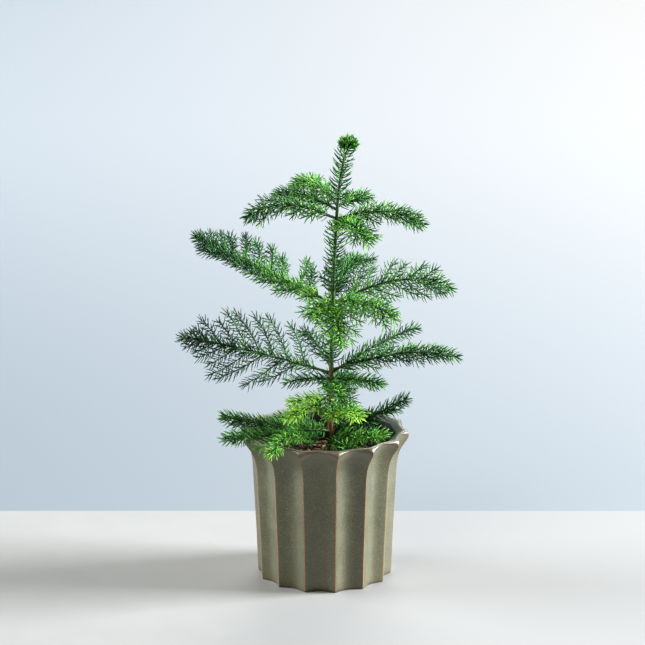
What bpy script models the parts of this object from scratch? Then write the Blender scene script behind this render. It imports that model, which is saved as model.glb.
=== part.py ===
"""A young Norfolk Island pine in a fluted, glazed pot.

Metres, +Z up. The origin is the middle of the pot's flat underside, and -Y is the front. The plant is
a leaning trunk with five whorls of boughs, and each bough carries a flat spray of needle-covered twigs.
"""
import math
import random
from typing import NamedTuple

import bmesh
import bpy
from mathutils import Matrix, Vector
from mathutils.bvhtree import BVHTree

MM = 0.001
GAP = 0.3 * MM
UP = Vector((0.0, 0.0, 1.0))

POT_RIM_RADIUS = 84.0 * MM
POT_HEIGHT = 150.0 * MM
RIDGE_TIP_HEIGHT = 142.6 * MM
FLUTES = 14
FLUTE_PHASE = math.radians(8.8)
POINTS_A_FLUTE = 4
FLUTE_DEPTH = 5.2 * MM
FLUTE_DEPTH_AT_RIM = 6.5 * MM
DEEPENING_POWER = 8
# Radius of the ridges as a share of the rim's, at shares of the height up to the ridge tips.
RIDGE_PROFILE = (
    (0.0, 0.786), (0.015, 0.799), (0.26, 0.812), (0.60, 0.842), (0.80, 0.858),
    (0.88, 0.879), (0.935, 0.921), (1.0, 1.0),
)
EDGE_DROP = 1.2 * MM
LIP_INSET = 2.6 * MM
LIP_WALL = 4.6 * MM
LIP_AT_RIDGE = 1.2
LIP_AT_FLUTE = 0.7
INNER_LIP_DROP = 1.5 * MM
INNER_FLARE_DEPTH = 14.0 * MM
INNER_TOP_RADIUS = 64.0 * MM
INNER_FOOT_RADIUS = 57.5 * MM
FLOOR_THICKNESS = 7.0 * MM
POT_CREASE = math.radians(32.0)

SOIL_TOP = 121.5 * MM
SOIL_CLEARANCE = 0.5 * MM
SOIL_EDGE_DROP = 2.0 * MM
SOIL_EDGE_INSET = 3.0 * MM
SOIL_LEVEL_INSET = 12.0 * MM
SOIL_CREASE = math.radians(40.0)

TRUNK_FOOT = SOIL_TOP + GAP
TRUNK_TOP = 431.0 * MM
TRUNK_FOOT_X = 5.9 * MM
TRUNK_LEAN = 8.4 * MM
TRUNK_NOD = 6.4 * MM
TRUNK_NOD_POWER = 10
TRUNK_RADIUS = 2.9 * MM
TRUNK_TIP_RADIUS = 1.2 * MM
ROOT_FLARE = 1.5 * MM
ROOT_FLARE_HEIGHT = 9.0 * MM
TRUNK_SIDES = 8
TRUNK_RINGS = 14
TRUNK_RING_CROWDING = 1.3

BOUGH_SHARE = 0.15
BOUGH_LIMIT = 75.0 * MM
BOUGH_RADIUS = 1.5 * MM
BOUGH_TIP_RADIUS = 1.1 * MM
BOUGH_SIDES = 5
BOUGH_RINGS = 3
LIMB_CREASE = math.radians(50.0)

STEM_RADIUS = 0.95 * MM
TWIG_RADIUS = 0.75 * MM
NEEDLE_OUT = 7.0 * MM
NEEDLE_SWEEP = 5.5 * MM
NEEDLE_PITCH = 11.0 * MM
STEM_NEEDLE_PITCH = 13.8 * MM
NEEDLE_ROOM = 0.9 * MM
NEEDLE_EDGE_INSET = 0.3
NEEDLE_EDGE_START = 0.2
TWIG_ROOM = 1.4 * MM
TEST_STEP = 1.5 * MM
TIP_LENGTH = 6.0 * MM
TWIG_TAPER = 0.45
STEM_TURN = 0.5

TWIG_STEP = 13.5 * MM
STEP_AT_ROOT = 1.25
STEP_LOSS = 0.45
LAST_STEP = 0.4
PLACE_SCATTER = 0.2
SIDE_STAGGER = 0.25
TWIGS_KEPT_EVERY = 2
TWIG_AT_ROOT = 0.66
TWIG_GROWTH = 1.2
TIP_ROUNDNESS = 0.85
TWIG_LENGTH_SCATTER = (0.86, 1.1)
ANGLE_AT_ROOT = 1.12
ANGLE_LOSS = 0.42
ANGLE_SCATTER = (0.9, 1.1)
TWIG_CURL = 0.35
TWIG_RISE = 0.10
RISE_SCATTER = 0.12
SHORTEST_TWIG = 12.0 * MM
TWIG_FOOT_ROOM = 2.5 * MM

SLEEVE_WALL = 0.7 * MM
SLEEVE_CLEARANCE = 0.4 * MM
SLEEVE_SIDES = 5
SLEEVE_PITCH = 8.8 * MM

TUFT_SHOOTS = 6
TUFT_STEP = 5.2 * MM
TUFT_NEEDLE = 5.0 * MM
TUFT_NOD = 0.42
SHOOT_RISE = 0.45
SHOOT_RISE_STEP = 0.40


class Bough(NamedTuple):
    """One bough and its spray, measured from the trunk.

    bearing is in degrees, 0 to the front and 90 to +X. reach is the level distance to the needle
    tips. lift is how far it leaves the trunk above its whorl. climb is its slope at the trunk, sag
    what it has lost at its tip. roll turns the spray about its stem, in degrees, and fold turns its
    two sides towards each other. twig is its longest side twig, and skew makes the twigs of one side
    longer and of the other shorter. first is how far out its first twigs stand, and angle is the angle
    at which its twigs leave the stem, in degrees. With a smaller tip_width its twigs shorten sooner
    towards the tip.
    """

    bearing: float
    reach: float
    lift: float
    climb: float
    sag: float
    roll: float
    twig: float
    skew: float = 0.0
    fold: float = 0.0
    first: float = 12.0
    angle: float = 60.0
    tip_width: float = 2.6


WHORLS = {
    "top": (368.5, (
        Bough(-150, 90, 8, 0.44, 0.45, 0, 23),
        Bough(-126, 80, 4, 0.32, 0.30, 0, 25),
        Bough(-76, 96, -5, 0.46, 0.46, -15, 30),
        Bough(24, 80, -7, 0.20, 0.35, 0, 27),
        Bough(84, 91, -5, 0.28, 0.38, 15, 30),
        Bough(145, 56, 7, 0.20, 0.22, 0, 22),
    )),
    "upper": (278.5, (
        Bough(-118, 161, 0, 0.30, -0.02, -2, 47, -0.12, 16, 9, 80),
        Bough(-30, 52, 0, 0.18, 0.34, 0, 26),
        Bough(5, 86, -2, 0.12, 0.40, 0, 34),
        Bough(44, 93, 2, 0.20, 0.26, 10, 31, -0.25),
        Bough(110, 132, 0, 0.35, 0.36, 38, 34, 0.0, 4),
        Bough(165, 104, 4, 0.42, 0.28, 0, 34),
    )),
    "middle": (204.0, (
        Bough(-158, 82, 8, 0.42, 0.20, 0, 18),
        Bough(-108, 164, 3, 0.20, 0.06, -42, 60, -0.10, 0, 30, 60, 1.8),
        Bough(-80, 51, -3, 0.10, 0.18, 0, 10),
        Bough(12, 58, -4, 0.02, 0.22, 0, 28),
        Bough(60, 64, -2, 0.10, 0.09, 0, 16),
        Bough(96, 132, 6, 0.28, 0.225, 14, 26),
        Bough(127, 114, 3, 0.37, 0.12, 0, 8),
    )),
    "lower": (177.0, (
        Bough(-84, 44, 3, 0.04, 0.14, 0, 20),
        Bough(-46, 66, 0, 0.06, 0.17, 0, 20),
        Bough(5, 40, -2, 0.02, 0.15, 0, 18),
        Bough(32, 56, 0, 0.02, 0.09, 0, 21),
        Bough(170, 76, 0, 0.30, 0.24, 0, 30),
    )),
    "low": (141.0, (
        Bough(-125, 70, 0, 0.22, 0.10, 0, 24),
        Bough(-89, 113, 5, 0.12, -0.04, 0, 30),
        Bough(-65, 121, -2, 0.20, 0.08, 0, 29),
        Bough(-37, 104, 6, 0.33, 0.37, 0, 32, -0.15, -14, 44),
        Bough(22, 57, -2, 0.10, 0.02, 0, 24),
        Bough(64, 63, 0, 0.20, 0.05, 0, 26),
        Bough(100, 83, 2, 0.40, -0.04, 0, 24),
        Bough(165, 72, 0, 0.26, 0.10, 0, 28),
    )),
}

# Needles that grow on the trunk itself, from and to these heights.
SLEEVES = {
    "needles_on_trunk_low": (218.0, 268.0),
    "needles_on_trunk_middle": (290.0, 358.0),
    "needles_on_leader": (382.0, 423.0),
}


def clear_scene():
    """Remove whatever the scene holds."""
    for item in list(bpy.data.objects):
        bpy.data.objects.remove(item, do_unlink=True)


def finish(name, colour, roughness):
    """A Principled material in one colour, with no metal in it."""
    material = bpy.data.materials.new(name)
    material.use_nodes = True
    shader = material.node_tree.nodes["Principled BSDF"]
    shader.inputs["Base Color"].default_value = (*colour, 1.0)
    shader.inputs["Roughness"].default_value = roughness
    shader.inputs["Metallic"].default_value = 0.0
    return material


def add_object(name, vertices, faces, material, crease=None):
    """An object made of vertices and faces, shaded smooth up to the crease angle."""
    mesh = bpy.data.meshes.new(name)
    mesh.from_pydata([tuple(point) for point in vertices], [], faces)
    mesh.validate()
    mesh.materials.append(material)
    if crease is not None:
        mesh.shade_smooth()
        mesh.set_sharp_from_angle(angle=crease)
    item = bpy.data.objects.new(name, mesh)
    bpy.context.scene.collection.objects.link(item)
    return item


def bridge(first, second, count):
    """The faces between two rings of count points that start at these indices."""
    return [
        (first + k, first + (k + 1) % count, second + (k + 1) % count, second + k)
        for k in range(count)
    ]


def blend_table(table, at):
    """Read a table of (place, value) pairs, straight between its rows."""
    for (low, low_value), (high, high_value) in zip(table, table[1:]):
        if at <= high:
            return low_value + (high_value - low_value) * (at - low) / (high - low)
    return table[-1][1]


def flute_angles():
    """The bearing of each point round the pot, with how deep in its flute it lies, from 0 to 1."""
    for flute in range(FLUTES):
        for step in range(POINTS_A_FLUTE):
            across = step / POINTS_A_FLUTE
            angle = FLUTE_PHASE + (flute + across) * math.tau / FLUTES
            yield angle, math.sin(math.pi * across)


def pot_point(angle, radius, height):
    """A point of the pot at a bearing, with 0 to the front."""
    return Vector((radius * math.sin(angle), -radius * math.cos(angle), height))


def outer_wall(share):
    """One ring of the outer wall, at a share of the way up to its edge."""
    ridge = POT_RIM_RADIUS * blend_table(RIDGE_PROFILE, share)
    deepest = FLUTE_DEPTH + (FLUTE_DEPTH_AT_RIM - FLUTE_DEPTH) * share ** DEEPENING_POWER
    for angle, depth in flute_angles():
        edge = RIDGE_TIP_HEIGHT + (POT_HEIGHT - EDGE_DROP - RIDGE_TIP_HEIGHT) * depth
        yield pot_point(angle, ridge - deepest * depth, share * edge)


def lip_ring(inward, height):
    """One ring of the lip, this far inside the outer edge and a little more at the ridges."""
    for angle, depth in flute_angles():
        inset = inward * (LIP_AT_RIDGE + (LIP_AT_FLUTE - LIP_AT_RIDGE) * depth)
        yield pot_point(angle, POT_RIM_RADIUS - FLUTE_DEPTH_AT_RIM * depth - inset, height)


def round_ring(radius, height):
    """One round ring with the pot's bearings."""
    for angle, _ in flute_angles():
        yield pot_point(angle, radius, height)


def make_turned(name, rings, material, crease):
    """Close a stack of rings with a middle point at each end."""
    count = FLUTES * POINTS_A_FLUTE
    vertices = [Vector((0.0, 0.0, rings[0][0].z))]
    for ring in rings:
        vertices.extend(ring)
    vertices.append(Vector((0.0, 0.0, rings[-1][0].z)))
    last = len(vertices) - 1
    faces = [(0, 1 + (k + 1) % count, 1 + k) for k in range(count)]
    for row in range(len(rings) - 1):
        faces.extend(bridge(1 + row * count, 1 + (row + 1) * count, count))
    top = 1 + (len(rings) - 1) * count
    faces.extend((last, top + k, top + (k + 1) % count) for k in range(count))
    return add_object(name, vertices, faces, material, crease=crease)


def make_pot(material):
    """The fluted pot: sharp ridges, hollow flutes, an arched edge to each flute and a flared lip."""
    rings = [list(outer_wall(share)) for share, _ in RIDGE_PROFILE]
    rings.append(list(lip_ring(LIP_INSET, POT_HEIGHT)))
    rings.append(list(lip_ring(LIP_INSET + LIP_WALL, POT_HEIGHT - INNER_LIP_DROP)))
    rings.append(list(round_ring(INNER_TOP_RADIUS, POT_HEIGHT - INNER_FLARE_DEPTH)))
    rings.append(list(round_ring(INNER_FOOT_RADIUS, FLOOR_THICKNESS)))
    return make_turned("pot", rings, material, POT_CREASE)


def inner_radius(height):
    """The pot's inside radius between its floor and its flared lip."""
    share = (height - FLOOR_THICKNESS) / (POT_HEIGHT - INNER_FLARE_DEPTH - FLOOR_THICKNESS)
    return INNER_FOOT_RADIUS + (INNER_TOP_RADIUS - INNER_FOOT_RADIUS) * share


def make_soil(material):
    """The potting bark that fills the pot, level on top where the trunk stands."""
    foot = FLOOR_THICKNESS + GAP
    rings = [
        list(round_ring(inner_radius(foot) - SOIL_CLEARANCE, foot)),
        list(round_ring(inner_radius(SOIL_TOP) - SOIL_EDGE_INSET, SOIL_TOP - SOIL_EDGE_DROP)),
        list(round_ring(inner_radius(SOIL_TOP) - SOIL_LEVEL_INSET, SOIL_TOP)),
    ]
    return make_turned("soil", rings, material, SOIL_CREASE)


def trunk_point(height):
    """The middle of the trunk at a height."""
    share = (height - TRUNK_FOOT) / (TRUNK_TOP - TRUNK_FOOT)
    lean = TRUNK_LEAN * share ** 2 + TRUNK_NOD * share ** TRUNK_NOD_POWER
    return Vector((TRUNK_FOOT_X + lean, 0.0, height))


def trunk_radius(height):
    """The trunk's radius at a height, with the flare at its foot."""
    share = (height - TRUNK_FOOT) / (TRUNK_TOP - TRUNK_FOOT)
    flare = ROOT_FLARE * math.exp(-(height - TRUNK_FOOT) / ROOT_FLARE_HEIGHT)
    return TRUNK_RADIUS + (TRUNK_TIP_RADIUS - TRUNK_RADIUS) * share + flare


def make_tube(name, path, radii, sides, material, level_foot=False):
    """A tapering limb along a path, with flat ends."""
    vertices = []
    for k, centre in enumerate(path):
        along = path[min(k + 1, len(path) - 1)] - path[max(k - 1, 0)]
        if level_foot and k == 0:
            along = UP
        turn = along.to_track_quat("Z", "Y")
        for side in range(sides):
            angle = math.tau * side / sides
            spoke = Vector((math.cos(angle), math.sin(angle), 0.0))
            vertices.append(centre + turn @ spoke * radii[k])
    faces = [tuple(reversed(range(sides)))]
    for row in range(len(path) - 1):
        faces.extend(bridge(row * sides, (row + 1) * sides, sides))
    faces.append(tuple((len(path) - 1) * sides + side for side in range(sides)))
    return add_object(name, vertices, faces, material, crease=LIMB_CREASE)


def make_trunk(material):
    """The trunk, whole from the soil to its tip."""
    shares = [(k / TRUNK_RINGS) ** TRUNK_RING_CROWDING for k in range(TRUNK_RINGS + 1)]
    heights = [TRUNK_FOOT + (TRUNK_TOP - TRUNK_FOOT) * share for share in shares]
    path = [trunk_point(height) for height in heights]
    radii = [trunk_radius(height) for height in heights]
    return make_tube("trunk", path, radii, TRUNK_SIDES, material, level_foot=True)


def bough_point(bough, height, out):
    """A point of a bough's middle line, at a level distance out from the trunk."""
    bearing = math.radians(bough.bearing)
    share = out / (bough.reach * MM)
    rise = bough.reach * MM * (bough.climb * share - bough.sag * share ** 3)
    start = trunk_point(height + bough.lift * MM)
    return start + Vector((out * math.sin(bearing), -out * math.cos(bearing), rise))


def bough_start(bough, height):
    """How far out a bough begins, clear of the trunk with its tilted end."""
    slope = math.atan(bough.climb)
    return trunk_radius(height + bough.lift * MM) + GAP + BOUGH_RADIUS * math.sin(slope)


def bough_end(bough, height):
    """How far out a bough ends and its spray begins; a short one is all spray."""
    if bough.reach * MM < BOUGH_LIMIT:
        return bough_start(bough, height)
    return bough.reach * MM * BOUGH_SHARE


def make_bough(name, bough, height, material):
    """The bare limb between the trunk and the spray."""
    start = bough_start(bough, height)
    end = bough_end(bough, height)
    outs = [start + (end - start) * k / BOUGH_RINGS for k in range(BOUGH_RINGS + 1)]
    path = [bough_point(bough, height, out) for out in outs]
    taper = (BOUGH_TIP_RADIUS - BOUGH_RADIUS) / BOUGH_RINGS
    radii = [BOUGH_RADIUS + taper * k for k in range(BOUGH_RINGS + 1)]
    return make_tube(name, path, radii, BOUGH_SIDES, material)


class Neighbours:
    """The surfaces that a new twig or needle keeps clear of."""

    def __init__(self):
        self.vertices = []
        self.faces = []
        self.tree = None

    def add(self, item):
        """Take in a finished object."""
        first = len(self.vertices)
        self.vertices.extend(item.matrix_world @ vertex.co for vertex in item.data.vertices)
        self.faces.extend(tuple(first + k for k in face.vertices) for face in item.data.polygons)
        self.tree = BVHTree.FromPolygons(self.vertices, self.faces)

    def clear(self, start, end, room):
        """Whether a straight line keeps this much room to every surface."""
        steps = max(2, math.ceil((end - start).length / TEST_STEP))
        for k in range(steps + 1):
            point = start.lerp(end, k / steps)
            if self.tree.find_nearest(point, room)[0] is not None:
                return False
        return True

    def spare(self, corners, apex):
        """Whether a needle has room along its edges, from just above the corners of its foot."""
        foot = sum(corners, Vector()) / len(corners)
        inset = [corner.lerp(foot, NEEDLE_EDGE_INSET) for corner in corners]
        starts = [corner.lerp(apex, NEEDLE_EDGE_START) for corner in inset]
        return all(self.clear(start, apex, NEEDLE_ROOM) for start in starts)


def brush(name, path, radius, needle, turn, neighbours, material):
    """A slim three-sided core along a path, with a swept needle on each side of each of its rows.

    A needle that has no room is left out. The core ends in one needle that points along it.
    """
    vertices = []
    spokes = []
    for k, centre in enumerate(path):
        along = path[min(k + 1, len(path) - 1)] - path[max(k - 1, 0)]
        frame = along.to_track_quat("Z", "Y")
        angles = [turn + math.tau * side / 3 for side in range(3)]
        spokes.append([frame @ Vector((math.cos(angle), math.sin(angle), 0.0)) for angle in angles])
        taper = 1.0 - TWIG_TAPER * k / (len(path) - 1)
        vertices.extend(centre + spoke * radius * taper for spoke in spokes[-1])
    faces = [(2, 1, 0)]
    for k in range(len(path) - 1):
        middle = path[k].lerp(path[k + 1], 0.5)
        along = (path[k + 1] - path[k]).normalized()
        for side in range(3):
            after = (side + 1) % 3
            corners = (3 * k + side, 3 * k + after, 3 * k + 3 + after, 3 * k + 3 + side)
            out = (spokes[k][side] + spokes[k][after]).normalized()
            apex = middle + out * needle + along * NEEDLE_SWEEP
            if neighbours.spare([vertices[corner] for corner in corners], apex):
                vertices.append(apex)
                tip = len(vertices) - 1
                faces.extend((corners[j], corners[(j + 1) % 4], tip) for j in range(4))
            else:
                faces.append(corners)
    vertices.append(path[-1] + (path[-1] - path[-2]).normalized() * TIP_LENGTH)
    tip = len(vertices) - 1
    last = 3 * (len(path) - 1)
    faces.extend((last + side, last + (side + 1) % 3, tip) for side in range(3))
    return add_object(name, vertices, faces, material)


def keep_main_shell(mesh):
    """Fill the hollows that a union seals, and drop loose scraps: only the largest shell stays."""
    shape = bmesh.new()
    shape.from_mesh(mesh)
    left = set(shape.verts)
    shells = []
    while left:
        shell = set()
        front = [left.pop()]
        while front:
            vertex = front.pop()
            shell.add(vertex)
            for edge in vertex.link_edges:
                other = edge.other_vert(vertex)
                if other in left:
                    left.remove(other)
                    front.append(other)
        shells.append(shell)
    shells.sort(key=len)
    for shell in shells[:-1]:
        bmesh.ops.delete(shape, geom=list(shell), context="VERTS")
    shape.to_mesh(mesh)
    shape.free()


def fuse(name, items):
    """Join the first object with all the others into one solid, and remove the others."""
    body, others = items[0], items[1:]
    if others:
        group = bpy.data.collections.new(name)
        for other in others:
            group.objects.link(other)
        union = body.modifiers.new("union", "BOOLEAN")
        union.operation = "UNION"
        union.operand_type = "COLLECTION"
        union.collection = group
        union.solver = "EXACT"
        bpy.context.view_layer.update()
        fused = bpy.data.meshes.new_from_object(body.evaluated_get(bpy.context.evaluated_depsgraph_get()))
        body.modifiers.clear()
        body.data = fused
        keep_main_shell(fused)
        for other in others:
            bpy.data.objects.remove(other, do_unlink=True)
        bpy.data.collections.remove(group)
    body.name = name
    return body


def twig_places(bough, height):
    """Where the side twigs of a spray grow: how far out, which side, how long, at what angle.

    They stand in pairs along the stem, closer together and leaning further forward towards the tip.
    They are longest a third of the way out.
    """
    draw = random.Random(f"{height} {bough.bearing}")
    reach = bough.reach * MM
    foot = bough.first * MM
    pair = 0
    while foot < reach - TIP_LENGTH - LAST_STEP * TWIG_STEP:
        step = TWIG_STEP * (STEP_AT_ROOT - STEP_LOSS * foot / reach)
        for side in (-1, 1):
            out = foot + step * (draw.uniform(-PLACE_SCATTER, PLACE_SCATTER) + SIDE_STAGGER * (side + 1))
            share = out / reach
            swell = min(1.0, TWIG_AT_ROOT + TWIG_GROWTH * share)
            envelope = swell * min(1.0, bough.tip_width * (1.0 - share) ** TIP_ROUNDNESS)
            widest = bough.twig * MM * (1.0 + bough.skew * side)
            length = widest * envelope * draw.uniform(*TWIG_LENGTH_SCATTER)
            lean = ANGLE_AT_ROOT - ANGLE_LOSS * share
            angle = math.radians(bough.angle) * lean * draw.uniform(*ANGLE_SCATTER)
            yield pair, side, out, length, angle, draw.uniform(-RISE_SCATTER, RISE_SCATTER)
        foot += step
        pair += 1


def twig_path(bough, height, out, side, length, angle, lift):
    """The middle line of one side twig, which leaves the stem at an angle and curls forward."""
    foot = bough_point(bough, height, out)
    along = (bough_point(bough, height, out + MM) - foot).normalized()
    level = along.cross(UP).normalized()
    turn = math.radians(bough.roll + bough.fold * side)
    across = Matrix.Rotation(turn, 3, along) @ (-level * side)
    normal = across.cross(along) * side
    rows = max(2, round(length / NEEDLE_PITCH))
    path = [foot]
    for row in range(1, rows + 1):
        heading = angle * (1.0 - TWIG_CURL * row / rows)
        step = along * math.cos(heading) + across * math.sin(heading) + normal * (TWIG_RISE + lift)
        path.append(path[-1] + step.normalized() * (length - TIP_LENGTH) / rows)
    return path


def make_spray(name, bough, height, neighbours, material):
    """One flat spray: a needle-covered stem and its side twigs, fused into one solid."""
    end = bough_end(bough, height)
    start = end + (GAP if bough.reach * MM >= BOUGH_LIMIT else 0.0)
    tip = bough.reach * MM - TIP_LENGTH
    rows = max(3, round((tip - start) / STEM_NEEDLE_PITCH))
    outs = [start + (tip - start) * row / rows for row in range(rows + 1)]
    stem = [bough_point(bough, height, out) for out in outs]
    pieces = [brush(name, stem, STEM_RADIUS, NEEDLE_OUT, STEM_TURN, neighbours, material)]
    for pair, side, out, length, angle, lift in twig_places(bough, height):
        if pair % TWIGS_KEPT_EVERY or length < SHORTEST_TWIG or out < start + TWIG_FOOT_ROOM:
            continue
        path = twig_path(bough, height, out, side, length, angle, lift)
        ends = path[1:] + [path[-1] + (path[-1] - path[-2]).normalized() * TIP_LENGTH]
        if all(neighbours.clear(a, b, TWIG_ROOM) for a, b in zip(path, ends)):
            pieces.append(brush(name, path, TWIG_RADIUS, NEEDLE_OUT, len(pieces), neighbours, material))
    return fuse(name, pieces)


def make_sleeve(name, low, high, neighbours, material):
    """Needles that grow on the trunk: a thin sleeve round it, clear of the bark, and its needles."""
    rows = round((high - low) * MM / SLEEVE_PITCH)
    fit = 1.0 / math.cos(math.pi / SLEEVE_SIDES)
    vertices = []
    for row in range(rows + 1):
        centre = trunk_point((low + (high - low) * row / rows) * MM)
        inner = (trunk_radius(centre.z) + SLEEVE_CLEARANCE) * fit
        for wall in (0.0, SLEEVE_WALL):
            for side in range(SLEEVE_SIDES):
                angle = math.tau * side / SLEEVE_SIDES
                vertices.append(centre + Vector((math.cos(angle), math.sin(angle), 0.0)) * (inner + wall))
    size = 2 * SLEEVE_SIDES
    top = rows * size
    faces = bridge(0, SLEEVE_SIDES, SLEEVE_SIDES) + bridge(top + SLEEVE_SIDES, top, SLEEVE_SIDES)
    for row in range(rows):
        faces.extend(bridge((row + 1) * size, row * size, SLEEVE_SIDES))
        for quad in bridge(row * size + SLEEVE_SIDES, (row + 1) * size + SLEEVE_SIDES, SLEEVE_SIDES):
            middle = sum((vertices[k] for k in quad), Vector()) / 4
            axis = trunk_point(middle.z)
            apex = middle + (middle - axis).normalized() * NEEDLE_OUT + UP * NEEDLE_SWEEP / 2
            if neighbours.spare([vertices[k] for k in quad], apex):
                vertices.append(apex)
                tip = len(vertices) - 1
                faces.extend((quad[j], quad[(j + 1) % 4], tip) for j in range(4))
            else:
                faces.append(quad)
    return add_object(name, vertices, faces, material)


def make_leader_tuft(neighbours, material):
    """The nodding bud at the top: a short stem with a rosette of needle-covered shoots."""
    foot = trunk_point(TRUNK_TOP) + UP * GAP
    nod = Vector((TUFT_NOD, 0.0, 1.0)).normalized()
    stem = [foot + nod * TUFT_STEP * step for step in range(3)]
    pieces = [brush("leader_tuft", stem, TRUNK_TIP_RADIUS, TUFT_NEEDLE, 0.0, neighbours, material)]
    for shoot in range(TUFT_SHOOTS):
        turn = math.tau * shoot / TUFT_SHOOTS
        rise = SHOOT_RISE + SHOOT_RISE_STEP * (shoot % 2)
        spread = Vector((math.cos(turn), math.sin(turn), rise)).normalized()
        path = [stem[1], stem[1] + spread * TUFT_STEP]
        pieces.append(brush("shoot", path, TWIG_RADIUS, TUFT_NEEDLE, turn, neighbours, material))
    return fuse("leader_tuft", pieces)


def build():
    """Make the pot, its soil and the whole plant."""
    clear_scene()
    glaze = finish("glaze", (0.24, 0.25, 0.19), 0.42)
    bark_mulch = finish("bark_mulch", (0.16, 0.10, 0.06), 0.92)
    bark = finish("bark", (0.27, 0.15, 0.08), 0.80)
    green_bark = finish("green_bark", (0.20, 0.24, 0.08), 0.66)
    needles = finish("needles", (0.06, 0.25, 0.05), 0.50)

    pot = make_pot(glaze)
    soil = make_soil(bark_mulch)
    trunk = make_trunk(bark)
    neighbours = Neighbours()
    for item in (pot, soil, trunk):
        neighbours.add(item)

    sprays = []
    for whorl, (level, boughs) in WHORLS.items():
        height = level * MM
        for number, bough in enumerate(boughs, start=1):
            if bough.reach * MM >= BOUGH_LIMIT:
                neighbours.add(make_bough(f"bough_{whorl}_{number}", bough, height, green_bark))
            sprays.append((f"spray_{whorl}_{number}", bough, height))
    for name, bough, height in sprays:
        neighbours.add(make_spray(name, bough, height, neighbours, needles))
    for name, (low, high) in SLEEVES.items():
        neighbours.add(make_sleeve(name, low, high, neighbours, needles))
    make_leader_tuft(neighbours, needles)


build()
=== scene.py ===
"""The looks of a young Norfolk Island pine in a fluted, glazed pot.

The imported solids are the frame, and every piece here stands for some of them. Lengths are in metres,
+Z is up and -Y is the front. The boughs, twigs and needles grow from the trunk by the same rule as the
solids, carried on to every twig and every needle. The pot and its potting bark are turned again with
the fine shape of the real ones.
"""
import logging
import math
import random
from dataclasses import dataclass, field, replace
from enum import Enum
from functools import cached_property
from typing import Iterator, NamedTuple

import bpy
import numpy as np
from mathutils import Matrix, Vector, noise


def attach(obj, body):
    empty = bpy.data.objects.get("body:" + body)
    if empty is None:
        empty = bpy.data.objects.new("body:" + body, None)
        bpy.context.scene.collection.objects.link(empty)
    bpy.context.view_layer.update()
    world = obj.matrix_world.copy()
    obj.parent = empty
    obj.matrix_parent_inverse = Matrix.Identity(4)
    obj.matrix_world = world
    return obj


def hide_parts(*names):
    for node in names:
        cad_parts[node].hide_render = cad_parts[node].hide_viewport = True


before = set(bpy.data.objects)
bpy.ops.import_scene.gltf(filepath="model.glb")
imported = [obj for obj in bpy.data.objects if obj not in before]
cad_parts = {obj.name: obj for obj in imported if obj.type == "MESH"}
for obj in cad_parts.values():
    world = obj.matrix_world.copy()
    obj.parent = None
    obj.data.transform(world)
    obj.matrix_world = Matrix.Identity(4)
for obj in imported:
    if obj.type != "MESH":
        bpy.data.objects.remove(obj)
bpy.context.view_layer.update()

MM = 0.001
UP = Vector((0.0, 0.0, 1.0))
GOLDEN_ANGLE = math.pi * (3.0 - math.sqrt(5.0))

Colour = tuple[float, float, float]
Span = tuple[float, float]
Amount = float | np.ndarray
Faces = tuple[np.ndarray, np.ndarray]

log = logging.getLogger("norfolk_pine")


class Tone(Enum):
    """The greens of the needles, from the darkest to the lightest, as linear colours.

    The lime is the green of new growth. The tones dealt to the sprays are also painted light and shade:
    darker on sprays that stand in shade or against the light, lighter on sprays where light falls.
    """

    SHADE = (0.012, 0.046, 0.017)
    DEEP = (0.031, 0.108, 0.035)
    LEAF = (0.092, 0.266, 0.063)
    FRESH = (0.205, 0.500, 0.084)
    LIME = (0.440, 0.750, 0.125)

    @property
    def label(self) -> str:
        """The tone's name as piece names use it."""
        return self.name.lower()


TONES = tuple(Tone)


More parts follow.
